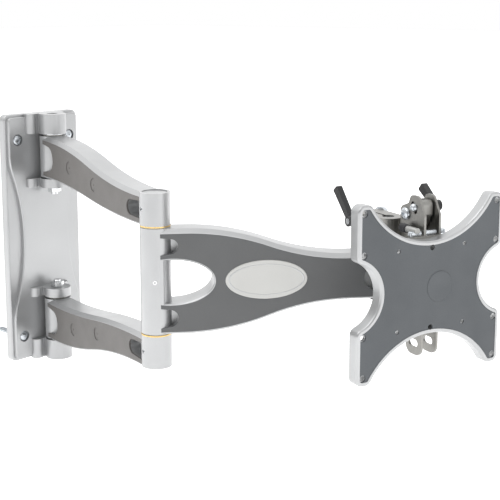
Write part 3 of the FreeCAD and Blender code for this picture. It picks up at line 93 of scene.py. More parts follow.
WALL_PIVOT = joint_place("wall_swing")
ELBOW = joint_place("elbow_swing")
SWIVEL = joint_place("head_swivel")
TILT_AXIS = Vector(named(frame["joints"], "screen_tilt")["axis"])
HEAD = axes_at(SWIVEL, TILT_AXIS.cross(UP), TILT_AXIS)
OUTER_FORWARD = (SWIVEL - ELBOW).normalized()
OUTER = axes_at(ELBOW, OUTER_FORWARD, UP.cross(OUTER_FORWARD))
TO_RIGHT = Matrix.Rotation(math.radians(90), 4, "X")
TO_FRONT = Matrix.Rotation(math.radians(90), 4, "Y")
TO_WALL = Matrix.Rotation(math.radians(-90), 4, "X")


# ---------------------------------------------------------------- sizes and colours a user would change
def colour(name, description, default):
    return FloatVectorProperty(name=name, description=description, default=default, subtype="COLOR",
                               size=3, min=0, max=1)


def length(name, description, default):
    return FloatProperty(name=name, description=description, default=default, unit="LENGTH", precision=5)


class MountFinishes(PropertyGroup):
    silver: colour("Silver paint", "Metallic paint of the castings", (0.46, 0.465, 0.47))
    arm_cover: colour("Inner arm covers", "Moulded covers let into the two inner arms", (0.135, 0.128, 0.122))
    outer_cover: colour("Outer arm covers", "Moulded covers let into the outer arm", (0.105, 0.108, 0.11))
    slate: colour("Screen plate face", "Moulded face of the screen plate", (0.088, 0.096, 0.104))
    badge: colour("Badge", "Plain oval badge on the outer arm", (0.5, 0.5, 0.485))
    grey_steel: colour("Bracket steel", "Plated steel of the tilt bracket and yoke", (0.30, 0.295, 0.28))
    black: colour("Black plastic", "Clamp levers and washers", (0.012, 0.012, 0.013))
    # Edge highlight amount: a painted highlight, how much lighter the paint is painted along its edges.
    wear: FloatProperty(name="Edge wear", description="How much lighter the paint is along its edges",
                        default=0.35, min=0, max=1, subtype="FACTOR")


class MountDetails(PropertyGroup):
    lag_head: length("Wood screw head", "Radius of the wood screws' heads", 0.0075)
    lag_shank: length("Wood screw shank", "Radius of the wood screws' shanks", 0.004)
    recess: length("Driver recess", "Depth of the recesses in the screw heads", 0.0022)
    nut: length("Nut", "Radius across the corners of the hexagon nuts", 0.0098)
    adjuster: length("Adjuster", "Radius of the tilt adjuster's grip", 0.0052)


class MountStage(PropertyGroup):
    lens: FloatProperty(name="Lens", description="Focal length", default=79.2, subtype="DISTANCE_CAMERA")
    shift: FloatProperty(name="Shift", description="Vertical shift of the lens", default=-0.12)
    floor: length("Floor", "Height of the floor under the wall plate's centre", -0.2)
    daylight: FloatProperty(name="Daylight", description="Brightness of the surroundings", default=0.44, min=0)
    key: FloatProperty(name="Key light", description="Power of the overhead light", default=17, min=0,
                       unit="POWER")


# ---------------------------------------------------------------- shared shader groups
def put(tree, kind, **values):
    node = tree.nodes.new(kind)
    for key, value in values.items():
        if hasattr(node, key):
            setattr(node, key, value)
        else:
            node.inputs[key.replace("_", " ")].default_value = value
    return node


def feed(tree, socket, value):
    """Links another node's socket into a socket, or sets a plain value on it."""
    if isinstance(value, bpy.types.NodeSocket):
        tree.links.new(value, socket)
    else:
        socket.default_value = value


def mix_colours(tree, factor, first, second):
    """Mix node output of two colours; a factor or colour may be a value or a socket."""
    node = put(tree, "ShaderNodeMix", data_type="RGBA")
    for index, value in ((0, factor), (6, first), (7, second)):
        feed(tree, node.inputs[index], value)
    return node.outputs[2]


def calculate(tree, operation, first, second):
    node = put(tree, "ShaderNodeMath", operation=operation)
    for index, value in enumerate((first, second)):
        feed(tree, node.inputs[index], value)
    return node.outputs[0]


def spread(tree, value, low, high, to_low, to_high):
    """A value between low and high, spread from to_low to to_high."""
    node = put(tree, "ShaderNodeMapRange")
    tree.links.new(value, node.inputs["Value"])
    for key, number in (("From Min", low), ("From Max", high), ("To Min", to_low), ("To Max", to_high)):
        feed(tree, node.inputs[key], number)
    return node.outputs["Result"]


def noise(tree, scale, detail=2.0, stretch=(1, 1, 1)):
    """Noise value on the object's own coordinates."""
    coordinates = put(tree, "ShaderNodeTexCoord")
    mapping = put(tree, "ShaderNodeMapping")
    mapping.inputs["Scale"].default_value = stretch
    texture = put(tree, "ShaderNodeTexNoise")
    texture.inputs["Detail"].default_value = detail
    tree.links.new(coordinates.outputs["Object"], mapping.inputs["Vector"])
    tree.links.new(mapping.outputs["Vector"], texture.inputs["Vector"])
    feed(tree, texture.inputs["Scale"], scale)
    return texture.outputs["Fac"]


def brighten(tree, colour, gain):
    """A colour multiplied by a gain."""
    scale = put(tree, "ShaderNodeVectorMath", operation="SCALE")
    tree.links.new(colour, scale.inputs[0])
    tree.links.new(gain, scale.inputs["Scale"])
    return scale.outputs[0]


def new_group(name, inputs, outputs):
    tree = bpy.data.node_groups.new(name, "ShaderNodeTree")
    for label, kind, default in inputs:
        socket = tree.interface.new_socket(label, in_out="INPUT", socket_type=kind)
        socket.default_value = default
    for label, kind in outputs:
        tree.interface.new_socket(label, in_out="OUTPUT", socket_type=kind)
    return tree, tree.nodes.new("NodeGroupInput"), tree.nodes.new("NodeGroupOutput")


def surface_group():
    """Colour, roughness and height that change over a surface: broad drift, fine grain and smudges."""
    tree, given, made = new_group(
        "surface_variation",
        [("Colour", "NodeSocketColor", (0.5, 0.5, 0.5, 1)), ("Drift", "NodeSocketFloat", 0.06),
         ("Grain Scale", "NodeSocketFloat", 1800.0), ("Roughness", "NodeSocketFloat", 0.4)],
        [("Colour", "NodeSocketColor"), ("Roughness", "NodeSocketFloat"), ("Height", "NodeSocketFloat")])
    broad = noise(tree, 9.0, 3.0)
    smudge = noise(tree, 38.0, 4.0)
    grain = noise(tree, given.outputs["Grain Scale"], 1.0)
    level = calculate(tree, "MULTIPLY", given.outputs["Drift"], spread(tree, broad, 0.3, 0.7, -1.0, 1.0))
    speck = calculate(tree, "MULTIPLY", given.outputs["Drift"], spread(tree, grain, 0.3, 0.7, -0.7, 0.7))
    gain = calculate(tree, "ADD", calculate(tree, "ADD", level, speck), 1.0)
    tree.links.new(brighten(tree, given.outputs["Colour"], gain), made.inputs["Colour"])
    change = spread(tree, smudge, 0.3, 0.7, 0.88, 1.14)
    rougher = calculate(tree, "MULTIPLY", given.outputs["Roughness"], change)
    tree.links.new(rougher, made.inputs["Roughness"])
    tree.links.new(grain, made.inputs["Height"])
    return tree


def edge_group():
    """Mask of one along sharp edges, broken up by noise: where a painted highlight lightens the colour along the
    edges.
    """
    tree, given, made = new_group("edge_highlight", [("Width", "NodeSocketFloat", 0.0012)],
                                  [("Mask", "NodeSocketFloat")])
    bevel = put(tree, "ShaderNodeBevel", samples=4)
    tree.links.new(given.outputs["Width"], bevel.inputs["Radius"])
    geometry = put(tree, "ShaderNodeNewGeometry")
    dot = put(tree, "ShaderNodeVectorMath", operation="DOT_PRODUCT")
    tree.links.new(bevel.outputs["Normal"], dot.inputs[0])
    tree.links.new(geometry.outputs["Normal"], dot.inputs[1])
    edge = spread(tree, dot.outputs["Value"], 0.98, 0.8, 0.0, 1.0)
    broken = spread(tree, noise(tree, 160.0, 3.0), 0.35, 0.6, 0.25, 1.0)
    tree.links.new(calculate(tree, "MULTIPLY", edge, broken), made.inputs["Mask"])
    return tree


def brushed_group():
    """Fine lines along one direction, for brushed and turned metal."""
    tree, given, made = new_group(
        "brushed_lines",
        [("Colour", "NodeSocketColor", (0.5, 0.5, 0.5, 1)), ("Roughness", "NodeSocketFloat", 0.3)],
        [("Colour", "NodeSocketColor"), ("Roughness", "NodeSocketFloat"), ("Height", "NodeSocketFloat")])
    lines = noise(tree, 900.0, 2.0, (1, 1, 0.03))
    gain = spread(tree, lines, 0.3, 0.7, 0.86, 1.1)
    tree.links.new(brighten(tree, given.outputs["Colour"], gain), made.inputs["Colour"])
    change = spread(tree, lines, 0.3, 0.7, 0.8, 1.25)
    rougher = calculate(tree, "MULTIPLY", given.outputs["Roughness"], change)
    tree.links.new(rougher, made.inputs["Roughness"])
    tree.links.new(lines, made.inputs["Height"])
    return tree


def shared(name):
    makers = {"surface_variation": surface_group, "edge_highlight": edge_group, "brushed_lines": brushed_group}
    return bpy.data.node_groups.get(name) or makers[name]()


# ---------------------------------------------------------------- materials
def new_material(name, metallic, **sockets):
    material = bpy.data.materials.new(name)
    material.use_nodes = True
    shader = material.node_tree.nodes["Principled BSDF"]
    shader.inputs["Metallic"].default_value = metallic
    for key, value in sockets.items():
        shader.inputs[key.replace("_", " ")].default_value = value
    return material, material.node_tree, shader


def add_bump(tree, shader, height, strength, distance):
    bump = put(tree, "ShaderNodeBump")
    bump.inputs["Strength"].default_value = strength
    bump.inputs["Distance"].default_value = distance
    tree.links.new(height, bump.inputs["Height"])
    tree.links.new(bump.outputs["Normal"], shader.inputs["Normal"])


def varied(tree, shader, group_name, base, roughness, **values):
    """Places a shared group and feeds its colour and roughness to the shader; returns its node."""
    node = put(tree, "ShaderNodeGroup", node_tree=shared(group_name))
    node.inputs["Colour"].default_value = (*base, 1)
    node.inputs["Roughness"].default_value = roughness
    for key, value in values.items():
        node.inputs[key.replace("_", " ")].default_value = value
    tree.links.new(node.outputs["Colour"], shader.inputs["Base Color"])
    tree.links.new(node.outputs["Roughness"], shader.inputs["Roughness"])
    return node


def painted(name, base, wear, metallic=0.72, roughness=0.36):
    """Metallic paint: fine flakes, a thin clear coat and edges that catch the light."""
    material, tree, shader = new_material(name, metallic, Coat_Weight=0.18, Coat_Roughness=0.22)
    node = varied(tree, shader, "surface_variation", base, roughness, Drift=0.045, Grain_Scale=2600.0)
    edge = put(tree, "ShaderNodeGroup", node_tree=shared("edge_highlight"))
    light = tuple(min(1.0, channel * 1.45) for channel in base)
    # Painted highlight: the colour is painted lighter along the edges where the mask is one.
    amount = calculate(tree, "MULTIPLY", edge.outputs["Mask"], wear)
    highlighted = mix_colours(tree, amount, node.outputs["Colour"], (*light, 1))
    tree.links.new(highlighted, shader.inputs["Base Color"])
    add_bump(tree, shader, node.outputs["Height"], 0.10, 0.0002)
    return material


def moulded(name, base, roughness=0.5, grain=1400.0, strength=0.28):
    """Moulded plastic with a fine spark-eroded texture and a slight painted highlight along its edges."""
    material, tree, shader = new_material(name, 0.0, IOR=1.49)
    node = varied(tree, shader, "surface_variation", base, roughness, Drift=0.06, Grain_Scale=grain)
    edge = put(tree, "ShaderNodeGroup", node_tree=shared("edge_highlight"))
    edge.inputs["Width"].default_value = 0.0007
    light = tuple(min(1.0, channel * 1.5 + 0.02) for channel in base)
    # Painted highlight: the edges are painted slightly lighter where the edge mask is one.
    amount = calculate(tree, "MULTIPLY", edge.outputs["Mask"], 0.3)
    tree.links.new(mix_colours(tree, amount, node.outputs["Colour"], (*light, 1)), shader.inputs["Base Color"])
    add_bump(tree, shader, node.outputs["Height"], strength, 0.0004)
    return material


def plated(name, base, roughness, strength=0.08):
    """Plated or turned metal with fine brushed lines."""
    material, tree, shader = new_material(name, 1.0)
    node = varied(tree, shader, "brushed_lines", base, roughness)
    add_bump(tree, shader, node.outputs["Height"], strength, 0.0002)
    return material


def mount_materials(finishes):
    """One material for each of the record's slots, and the inner arm covers' warmer grey."""
    return {
        "silver_casting": painted("silver_paint", finishes.silver, finishes.wear),
        "charcoal_cover": moulded("outer_cover_plastic", finishes.outer_cover, 0.46),
        "inner_cover": moulded("inner_cover_plastic", finishes.arm_cover, 0.46),
        "slate_face": moulded("slate_plastic", finishes.slate, 0.55, 1100.0, 0.35),
        "badge": painted("badge_paint", finishes.badge, 0.2, 0.35, 0.34),
        "zinc": plated("zinc_plate", (0.58, 0.61, 0.64), 0.26),
        "bright_steel": plated("bright_steel", (0.72, 0.73, 0.74), 0.14, 0.04),
        "grey_steel": plated("grey_steel", finishes.grey_steel, 0.38, 0.14),
        "brass": plated("brass", (0.74, 0.53, 0.22), 0.28),
        "black_plastic": moulded("black_plastic", finishes.black, 0.34, 900.0, 0.2),
        "bearing_plastic": moulded("bearing_plastic", (0.62, 0.6, 0.54), 0.45),
    }


def coat(piece, material):
    piece.data.materials.clear()
    piece.data.materials.append(material)


class MOUNT_OT_finishes(Operator):
    """Give every part of the frame its finish"""

    bl_idname = "mount.finishes"
    bl_label = "Finishes"

    def execute(self, context):
        kinds = mount_materials(context.scene.mount_finishes)
        for row in frame["record"]["subparts"]:
            name = row["node"]
            slot = row["material_slot"]
            inner = slot == "charcoal_cover" and not name.startswith("outer_arm")
            coat(frame["nodes"][name], kinds["inner_cover" if inner else slot])
        return {"FINISHED"}


# ---------------------------------------------------------------- modelling steps
MATERIAL_OF = {
    "zinc": "zinc_plate",
    "grey_steel": "grey_steel",
    "bright_steel": "bright_steel",
    "black_plastic": "black_plastic",
    "silver_casting": "silver_paint",
    "charcoal_cover": "inner_cover_plastic",
    "slate_face": "slate_plastic",
}


def only(piece):
    bpy.ops.object.select_all(action="DESELECT")
    piece.select_set(True)
    bpy.context.view_layer.objects.active = piece


def join(first, *others):
    """Joins other pieces into the first."""
    only(first)
    for piece in others:
        piece.select_set(True)
    if others:
        bpy.ops.object.join()


def pick_highest_face(piece):
    bpy.ops.mesh.select_mode(type="FACE")
    bpy.ops.mesh.select_all(action="DESELECT")
    mesh = bmesh.from_edit_mesh(piece.data)
    top = max(mesh.faces, key=lambda face: face.calc_center_median().z)
    top.select = True
    bmesh.update_edit_mesh(piece.data)


def turned(name, start_radius, first_rise, steps, segments=40):
    """Solid on +Z from the origin: its end face rises and opens or closes to a radius at each step."""
    bpy.ops.object.select_all(action="DESELECT")
    bpy.ops.mesh.primitive_cylinder_add(vertices=segments, radius=start_radius, depth=first_rise,
                                        location=(0, 0, first_rise / 2))
    piece = bpy.context.object
    piece.name = name
    only(piece)
    bpy.ops.object.transform_apply(location=True, rotation=True, scale=True)
    bpy.ops.object.mode_set(mode="EDIT")
    pick_highest_face(piece)
    height = first_rise
    radius = start_radius
    for rise, next_radius in steps:
        bpy.ops.mesh.extrude_region_move(TRANSFORM_OT_translate={"value": (0, 0, rise)})
        height += rise
        share = next_radius / radius
        bpy.ops.transform.resize(value=(share, share, 1), center_override=(0, 0, height))
        radius = next_radius
    bpy.ops.object.mode_set(mode="OBJECT")
    return piece


def carve(piece, cutter):
    """Takes the cutter's shape out of a piece, and removes the cutter."""
    only(piece)
    bpy.ops.object.modifier_add(type="BOOLEAN")
    modifier = piece.modifiers[-1]
    modifier.operation = "DIFFERENCE"
    modifier.object = cutter
    bpy.ops.object.modifier_apply(modifier=modifier.name)
    bpy.data.objects.remove(cutter)


def hex_socket(piece, radius, depth, top):
    bpy.ops.object.select_all(action="DESELECT")
    bpy.ops.mesh.primitive_cylinder_add(vertices=6, radius=radius, depth=depth * 2, location=(0, 0, top))
    carve(piece, bpy.context.object)


def cross_recess(piece, reach, depth, top):
    """Two crossed slots that taper to a point, as a cross-head driver leaves them."""
    for angle in (0, math.pi / 2):
        bpy.ops.object.select_all(action="DESELECT")
        bpy.ops.mesh.primitive_cone_add(vertices=4, radius1=0, radius2=reach, depth=depth * 2,
                                        location=(0, 0, top))
        cutter = bpy.context.object
        only(cutter)
        bpy.ops.transform.resize(value=(1, 0.3, 1), center_override=(0, 0, top))
        bpy.ops.transform.rotate(value=angle, orient_axis="Z", center_override=(0, 0, top))
        carve(piece, cutter)


def dome_steps(radius, height, count=6):
    """Steps that close a head to a low dome."""
    steps = []
    for index in range(1, count + 1):
        turn = math.pi / 2 * index / (count + 0.6)
        before = math.pi / 2 * (index - 1) / (count + 0.6)
        steps.append((height * (math.sin(turn) - math.sin(before)), radius * math.cos(turn)))
    return steps


def smooth(piece, angle=32):
    only(piece)
    bpy.ops.object.shade_smooth_by_angle(angle=math.radians(angle))


def placed_copies(name, model, places):
    """Copies of a model, each with its own mesh, joined into one piece; the model is removed."""
    copies = []
    for place in places:
        item = model.copy()
        item.data = model.data.copy()
        item.data.transform(place)
        bpy.context.scene.collection.objects.link(item)
        copies.append(item)
    bpy.data.objects.remove(model)
    join(*copies)
    copies[0].name = name
    return copies[0]


def finish_piece(piece, slot, body, *nodes):
    coat(piece, bpy.data.materials[MATERIAL_OF[slot]])
    smooth(piece)
    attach(piece, body)
    if nodes:
        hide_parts(*nodes)


# ---------------------------------------------------------------- pieces
class MOUNT_OT_wood_screws(Operator):
    """Four wood screws with domed cross heads, threaded shanks and points"""

    bl_idname = "mount.wood_screws"
    bl_label = "Wood screws"

    def execute(self, context):
        details = context.scene.mount_details
        low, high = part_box("lag_screws")
        head_height = 0.0045
        head_rim = 0.0012
        shank = details.lag_shank
        thread_pitch = 0.003
        thread_root = shank * 0.72
        reach = high.y - low.y - head_height
        threads = 12
        plain = reach - (threads + 2) * thread_pitch
        steps = [(0, shank), (plain - 2 * shank, shank)]
        for _ in range(threads):
            steps += [(thread_pitch * 0.45, thread_root), (thread_pitch * 0.3, thread_root),
                      (thread_pitch * 0.25, shank)]
        steps += [(thread_pitch, thread_root), (shank * 2, 0.0004)]
        screw = turned("wood_screw", details.lag_head, 0.0002, steps, 24)
        head = turned("wood_screw_head", details.lag_head, head_rim,
                      dome_steps(details.lag_head, head_height - head_rim), 40)
        cross_recess(head, details.lag_head * 0.62, details.recess, head_height)
        head.data.transform(Matrix.Rotation(math.pi, 4, "X"))
        join(screw, head)
        dims = named(frame["record"]["mounts"], "lag_screw_studs")["dims"]
        half_x = dims["spacing_x_mm"] / 2000
        half_z = dims["spacing_y_mm"] / 2000
        seat = low.y + head_height
        places = []
        for x, z, turn in ((-half_x, -half_z, 20), (-half_x, half_z, 65),
                           (half_x, -half_z, 40), (half_x, half_z, 5)):
            spun = Matrix.Rotation(math.radians(turn), 4, "Z")
            places.append(Matrix.Translation((x, seat, z)) @ TO_WALL @ spun)
        finish_piece(placed_copies("wood_screws", screw, places), "zinc", "wall", "lag_screws")
        return {"FINISHED"}


class MOUNT_OT_pivot_nuts(Operator):
    """Chamfered hexagon nuts on the wall pivot bolts"""

    bl_idname = "mount.pivot_nuts"
    bl_label = "Pivot nuts"

    def execute(self, context):
        radius = context.scene.mount_details.nut
        low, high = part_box("wall_pivot_nuts")
        half_gap = 0.068
        height = high.z - half_gap
        chamfer = 0.0009
        nut = turned("pivot_nut", radius * 0.9, 0.0001,
                     [(chamfer, radius), (height - 2 * chamfer, radius), (chamfer, radius * 0.9),
                      (0, radius * 0.62), (-0.0008, radius * 0.56)], 6)
        centre = (low + high) / 2
        places = []
        for side in (1, -1):
            flip = Matrix.Rotation(0 if side < 0 else math.pi, 4, "X")
            places.append(Matrix.Translation((centre.x, centre.y, side * high.z)) @ flip)
        nuts = placed_copies("pivot_hex_nuts", nut, places)
        finish_piece(nuts, "bright_steel", "wall", "wall_pivot_nuts")
        return {"FINISHED"}


class MOUNT_OT_badge_line(Operator):
    """Plain raised oval line inside the badge's edge"""

    bl_idname = "mount.badge_line"
    bl_label = "Badge line"

    def execute(self, context):
        low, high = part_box("arm_badge")
        centre = (low + high) / 2
        across = Vector((high.x - low.x, high.y - low.y, 0)).length
        tall = high.z - low.z
        line_radius = 0.0005
        bpy.ops.object.select_all(action="DESELECT")
        bpy.ops.mesh.primitive_torus_add(major_segments=120, minor_segments=10, major_radius=tall * 0.39,
                                         minor_radius=line_radius)
        ring = bpy.context.object
        only(ring)
        line_tall = tall * 0.78
        line_across = across - (tall - line_tall)
        bpy.ops.transform.resize(value=(line_across / line_tall, 1, 1), center_override=(0, 0, 0))
        bpy.ops.object.transform_apply(location=True, rotation=True, scale=True)
        local = OUTER.inverted() @ centre
        badge_half = 0.001
        face = local.y - badge_half
        place = OUTER @ Matrix.Translation((local.x, face, local.z)) @ TO_RIGHT
        finish_piece(placed_copies("badge_line", ring, [place]), "silver_casting", "outer_arm_body")
        return {"FINISHED"}


def node_islands(node, count, space):
    """Lowest and highest corners, in a space, of each solid of a CAD node, read from a copy."""
    copy = frame["nodes"][node].copy()
    copy.data = copy.data.copy()
    copy.parent = None
    bpy.context.scene.collection.objects.link(copy)
    only(copy)
    bpy.ops.object.mode_set(mode="EDIT")
    bpy.ops.mesh.select_all(action="SELECT")
    bpy.ops.mesh.remove_doubles(threshold=0.00001)
    bpy.ops.mesh.separate(type="LOOSE")
    bpy.ops.object.mode_set(mode="OBJECT")
    boxes = []
    for part in list(bpy.context.selected_objects):
        corners = [space.inverted() @ vertex.co for vertex in part.data.vertices]
        low = Vector([min(corner[axis] for corner in corners) for axis in range(3)])
        high = Vector([max(corner[axis] for corner in corners) for axis in range(3)])
        boxes.append((low, high))
        bpy.data.objects.remove(part)
    if len(boxes) != count:
        raise ValueError(f"{node} has {len(boxes)} solids, not {count}")
    return boxes


class MOUNT_OT_cover_plugs(Operator):
    """Round plugs in the inner arms' covers, with a rounded rim and a small centre dimple"""

    bl_idname = "mount.cover_plugs"
    bl_label = "Cover plugs"

    def execute(self, context):
        radius = 0.0089
        thickness = 0.0016
        rim = 0.0005
        dimple = 0.0014
        plug = turned("cover_plug", radius, thickness - 2 * rim,
                      [(rim * 0.6, radius - rim * 0.4), (rim * 0.4, radius - rim * 1.4), (0, radius * 0.82),
                       (-rim * 0.5, radius * 0.78), (0, dimple), (-rim, dimple * 0.8)], 48)
        forward = (ELBOW - WALL_PIVOT).normalized()
        inner = axes_at(WALL_PIVOT, forward, UP.cross(forward))
        places = []
        for low, high in node_islands("arm_cover_plugs", 8, inner):
            centre = (low + high) / 2
            side = 1 if centre.y > 0 else -1
            back = centre.y - side * thickness / 2
            turn = TO_WALL if side > 0 else TO_RIGHT
            places.append(inner @ Matrix.Translation((centre.x, back, centre.z)) @ turn)
        plugs = placed_copies("cover_plugs", plug, places)
        finish_piece(plugs, "charcoal_cover", "inner_arms", "arm_cover_plugs")
        return {"FINISHED"}


class MOUNT_OT_emblem(Operator):
    """Plain dished disc on the screen plate's face"""

    bl_idname = "mount.emblem"
    bl_label = "Emblem"

    def execute(self, context):
        low, high = node_islands("face_cap", 1, HEAD)[0]
        centre = (low + high) / 2
        radius = (high.z - low.z) / 2
        thickness = high.x - low.x
        bead = 0.0006
        back = centre.x - thickness / 2
        dish = [(bead, radius - 0.0002), (bead * 0.4, radius - 0.0006), (0, radius - 0.0014)]
        rings = 7
        for index in range(1, rings + 1):
            dish.append((-0.0009 / rings, (radius - 0.0014) * (1 - 0.9 * index / rings)))
        disc = turned("emblem_disc", radius, thickness - bead * 1.4, dish, 72)
        place = HEAD @ Matrix.Translation((back, centre.y, centre.z)) @ TO_FRONT
        piece = placed_copies("emblem", disc, [place])
        finish_piece(piece, "slate_face", "tilt_plate", "face_cap")
        return {"FINISHED"}


class MOUNT_OT_tilt_pivot(Operator):
    """Domed tilt bolt and a knurled tilt adjuster beside it"""

    bl_idname = "mount.tilt_pivot"
    bl_label = "Tilt pivot"

    def execute(self, context):
        low, high = node_islands("tilt_axle", 1, HEAD)[0]
        centre = (low + high) / 2
        head_radius = (high.z - low.z) / 2
        head_height = 0.005
        head_rim = 0.0014
        socket_radius = 0.0026
        socket_depth = 0.0022
        shank_radius = 0.003
        point = 0.0006
        right = low.y + head_height
        head = turned("tilt_bolt_head", head_radius, head_rim,
                      dome_steps(head_radius, head_height - head_rim), 40)
        hex_socket(head, socket_radius, socket_depth, head_height)
        head.data.transform(Matrix.Rotation(math.pi, 4, "X"))
        shank = turned("tilt_bolt_shank", shank_radius, high.y - right - point,
                       [(point, shank_radius * 0.8)], 24)
        join(head, shank)
        place = HEAD @ Matrix.Translation((centre.x, right, centre.z)) @ TO_WALL
        finish_piece(placed_copies("tilt_pivot_bolt", head, [place]), "zinc", "swivel_head", "tilt_axle")
        self.make_adjuster(context.scene.mount_details.adjuster)
        return {"FINISHED"}

    def make_adjuster(self, radius):
        """Smooth tube that ends in a knurled grip, along the screen's normal."""
        tube_radius = radius * 0.84
        tube_length = 0.019
        tube_edge = 0.0004
        grip_length = 0.011
        grip_edge = 0.0006
        hollow = 0.003
        ahead, aside, above = 0.0532, -0.009, 0.067
        tube = turned("adjuster_tube", tube_radius, tube_edge,
                      [(tube_length, tube_radius), (tube_edge, radius * 0.8)], 32)
        steps = [(grip_edge, radius), (grip_length, radius), (grip_edge, radius * 0.9), (0, radius * 0.5),
                 (-hollow, radius * 0.45)]
        grip = turned("adjuster_grip", radius * 0.9, 0.0001, steps, 40)
        only(grip)
        bpy.ops.object.mode_set(mode="EDIT")
        mesh = bmesh.from_edit_mesh(grip.data)
        bpy.ops.mesh.select_mode(type="FACE")
        bpy.ops.mesh.select_all(action="DESELECT")
        large = 0.000004
        sides = [face for face in mesh.faces if abs(face.normal.z) < 0.1 and face.calc_area() > large]
        for face in sides:
            face.select = True
        bmesh.update_edit_mesh(grip.data)
        bpy.ops.mesh.inset(thickness=0.00012, use_individual=True)
        bpy.ops.transform.shrink_fatten(value=0.00028)
        bpy.ops.object.mode_set(mode="OBJECT")
        grip.data.transform(Matrix.Rotation(math.pi, 4, "X"))
        place = HEAD @ Matrix.Translation((ahead, aside, above)) @ TO_FRONT
        finish_piece(placed_copies("adjuster_tube", tube, [place]), "grey_steel", "tilt_plate")
        finish_piece(placed_copies("adjuster_grip", grip, [place]), "black_plastic", "tilt_plate")


class MOUNT_OT_packers(Operator):
    """Bright rounded packers along the bracket's upper edge, between and beside the cheeks"""

    bl_idname = "mount.packers"
    bl_label = "Bracket packers"

    def execute(self, context):
        depth = 0.008
        height = 0.0065
        back = 0.073
        low = 0.0605
        pieces = []
        for left, right in ((-0.0185, -0.0008), (0.0038, 0.0222), (0.0268, 0.0350)):
            bpy.ops.object.select_all(action="DESELECT")
            bpy.ops.mesh.primitive_cube_add(size=1)
            packer = bpy.context.object
            packer.data.transform(Matrix.Diagonal((depth, right - left, height, 1)))
            bevel = packer.modifiers.new("bevel", "BEVEL")
            bevel.width = 0.0022
            bevel.segments = 4
            bpy.ops.object.modifier_apply(modifier="bevel")
            place = Matrix.Translation((back - depth / 2, (left + right) / 2, low + height / 2))
            packer.data.transform(HEAD @ place)
            pieces.append(packer)
        join(*pieces)
        pieces[0].name = "bracket_packers"
        finish_piece(pieces[0], "zinc", "tilt_plate")
        return {"FINISHED"}


class MOUNT_OT_bracket_screws(Operator):
    """Socket screws that hold the tilt bracket to the screen plate"""

    bl_idname = "mount.bracket_screws"
    bl_label = "Bracket screws"

    def execute(self, context):
        radius = 0.0054
        height = 0.0032
        rim = 0.001
        socket_radius = 0.0021
        socket_depth = 0.0016
        shank = 0.003
        shank_length = 0.0094
        point = 0.0006
        head = turned("bracket_screw_head", radius, rim, dome_steps(radius, height - rim), 32)
        hex_socket(head, socket_radius, socket_depth, height)
        head.data.transform(Matrix.Rotation(math.pi, 4, "X"))
        body = turned("bracket_screw_shank", shank, shank_length, [(point, shank * 0.8)], 20)
        join(head, body)
        places = []
        for low, high in node_islands("bracket_screws", 4, HEAD):
            centre = (low + high) / 2
            places.append(HEAD @ Matrix.Translation((low.x + height, centre.y, centre.z)) @ TO_FRONT)
        screws = placed_copies("bracket_socket_screws", head, places)
        finish_piece(screws, "zinc", "tilt_plate", "bracket_screws")
        return {"FINISHED"}


class MOUNT_OT_grub_screw(Operator):
    """Small socket grub screw half way up the outer arm's barrel"""

    bl_idname = "mount.grub_screw"
    bl_label = "Grub screw"

    def execute(self, context):
        radius = 0.0026
        screw_length = 0.004
        start = 0.0157
        around = Matrix.Rotation(math.radians(-96), 4, "Z")
        screw = turned("grub_screw", radius, screw_length,
                       [(0.0002, radius * 0.9), (0, radius * 0.55), (-0.0012, radius * 0.5)], 24)
        place = OUTER @ around @ Matrix.Translation((start, 0, 0)) @ TO_FRONT
        finish_piece(placed_copies("barrel_grub_screw", screw, [place]), "bright_steel", "outer_arm_body")
        return {"FINISHED"}


# ---------------------------------------------------------------- stage
CAMERA_PLACE = (-1.0199, -1.3107, 0.3385)
CAMERA_HEADING = math.radians(41.081)
CAMERA_PITCH = math.radians(-9.484)


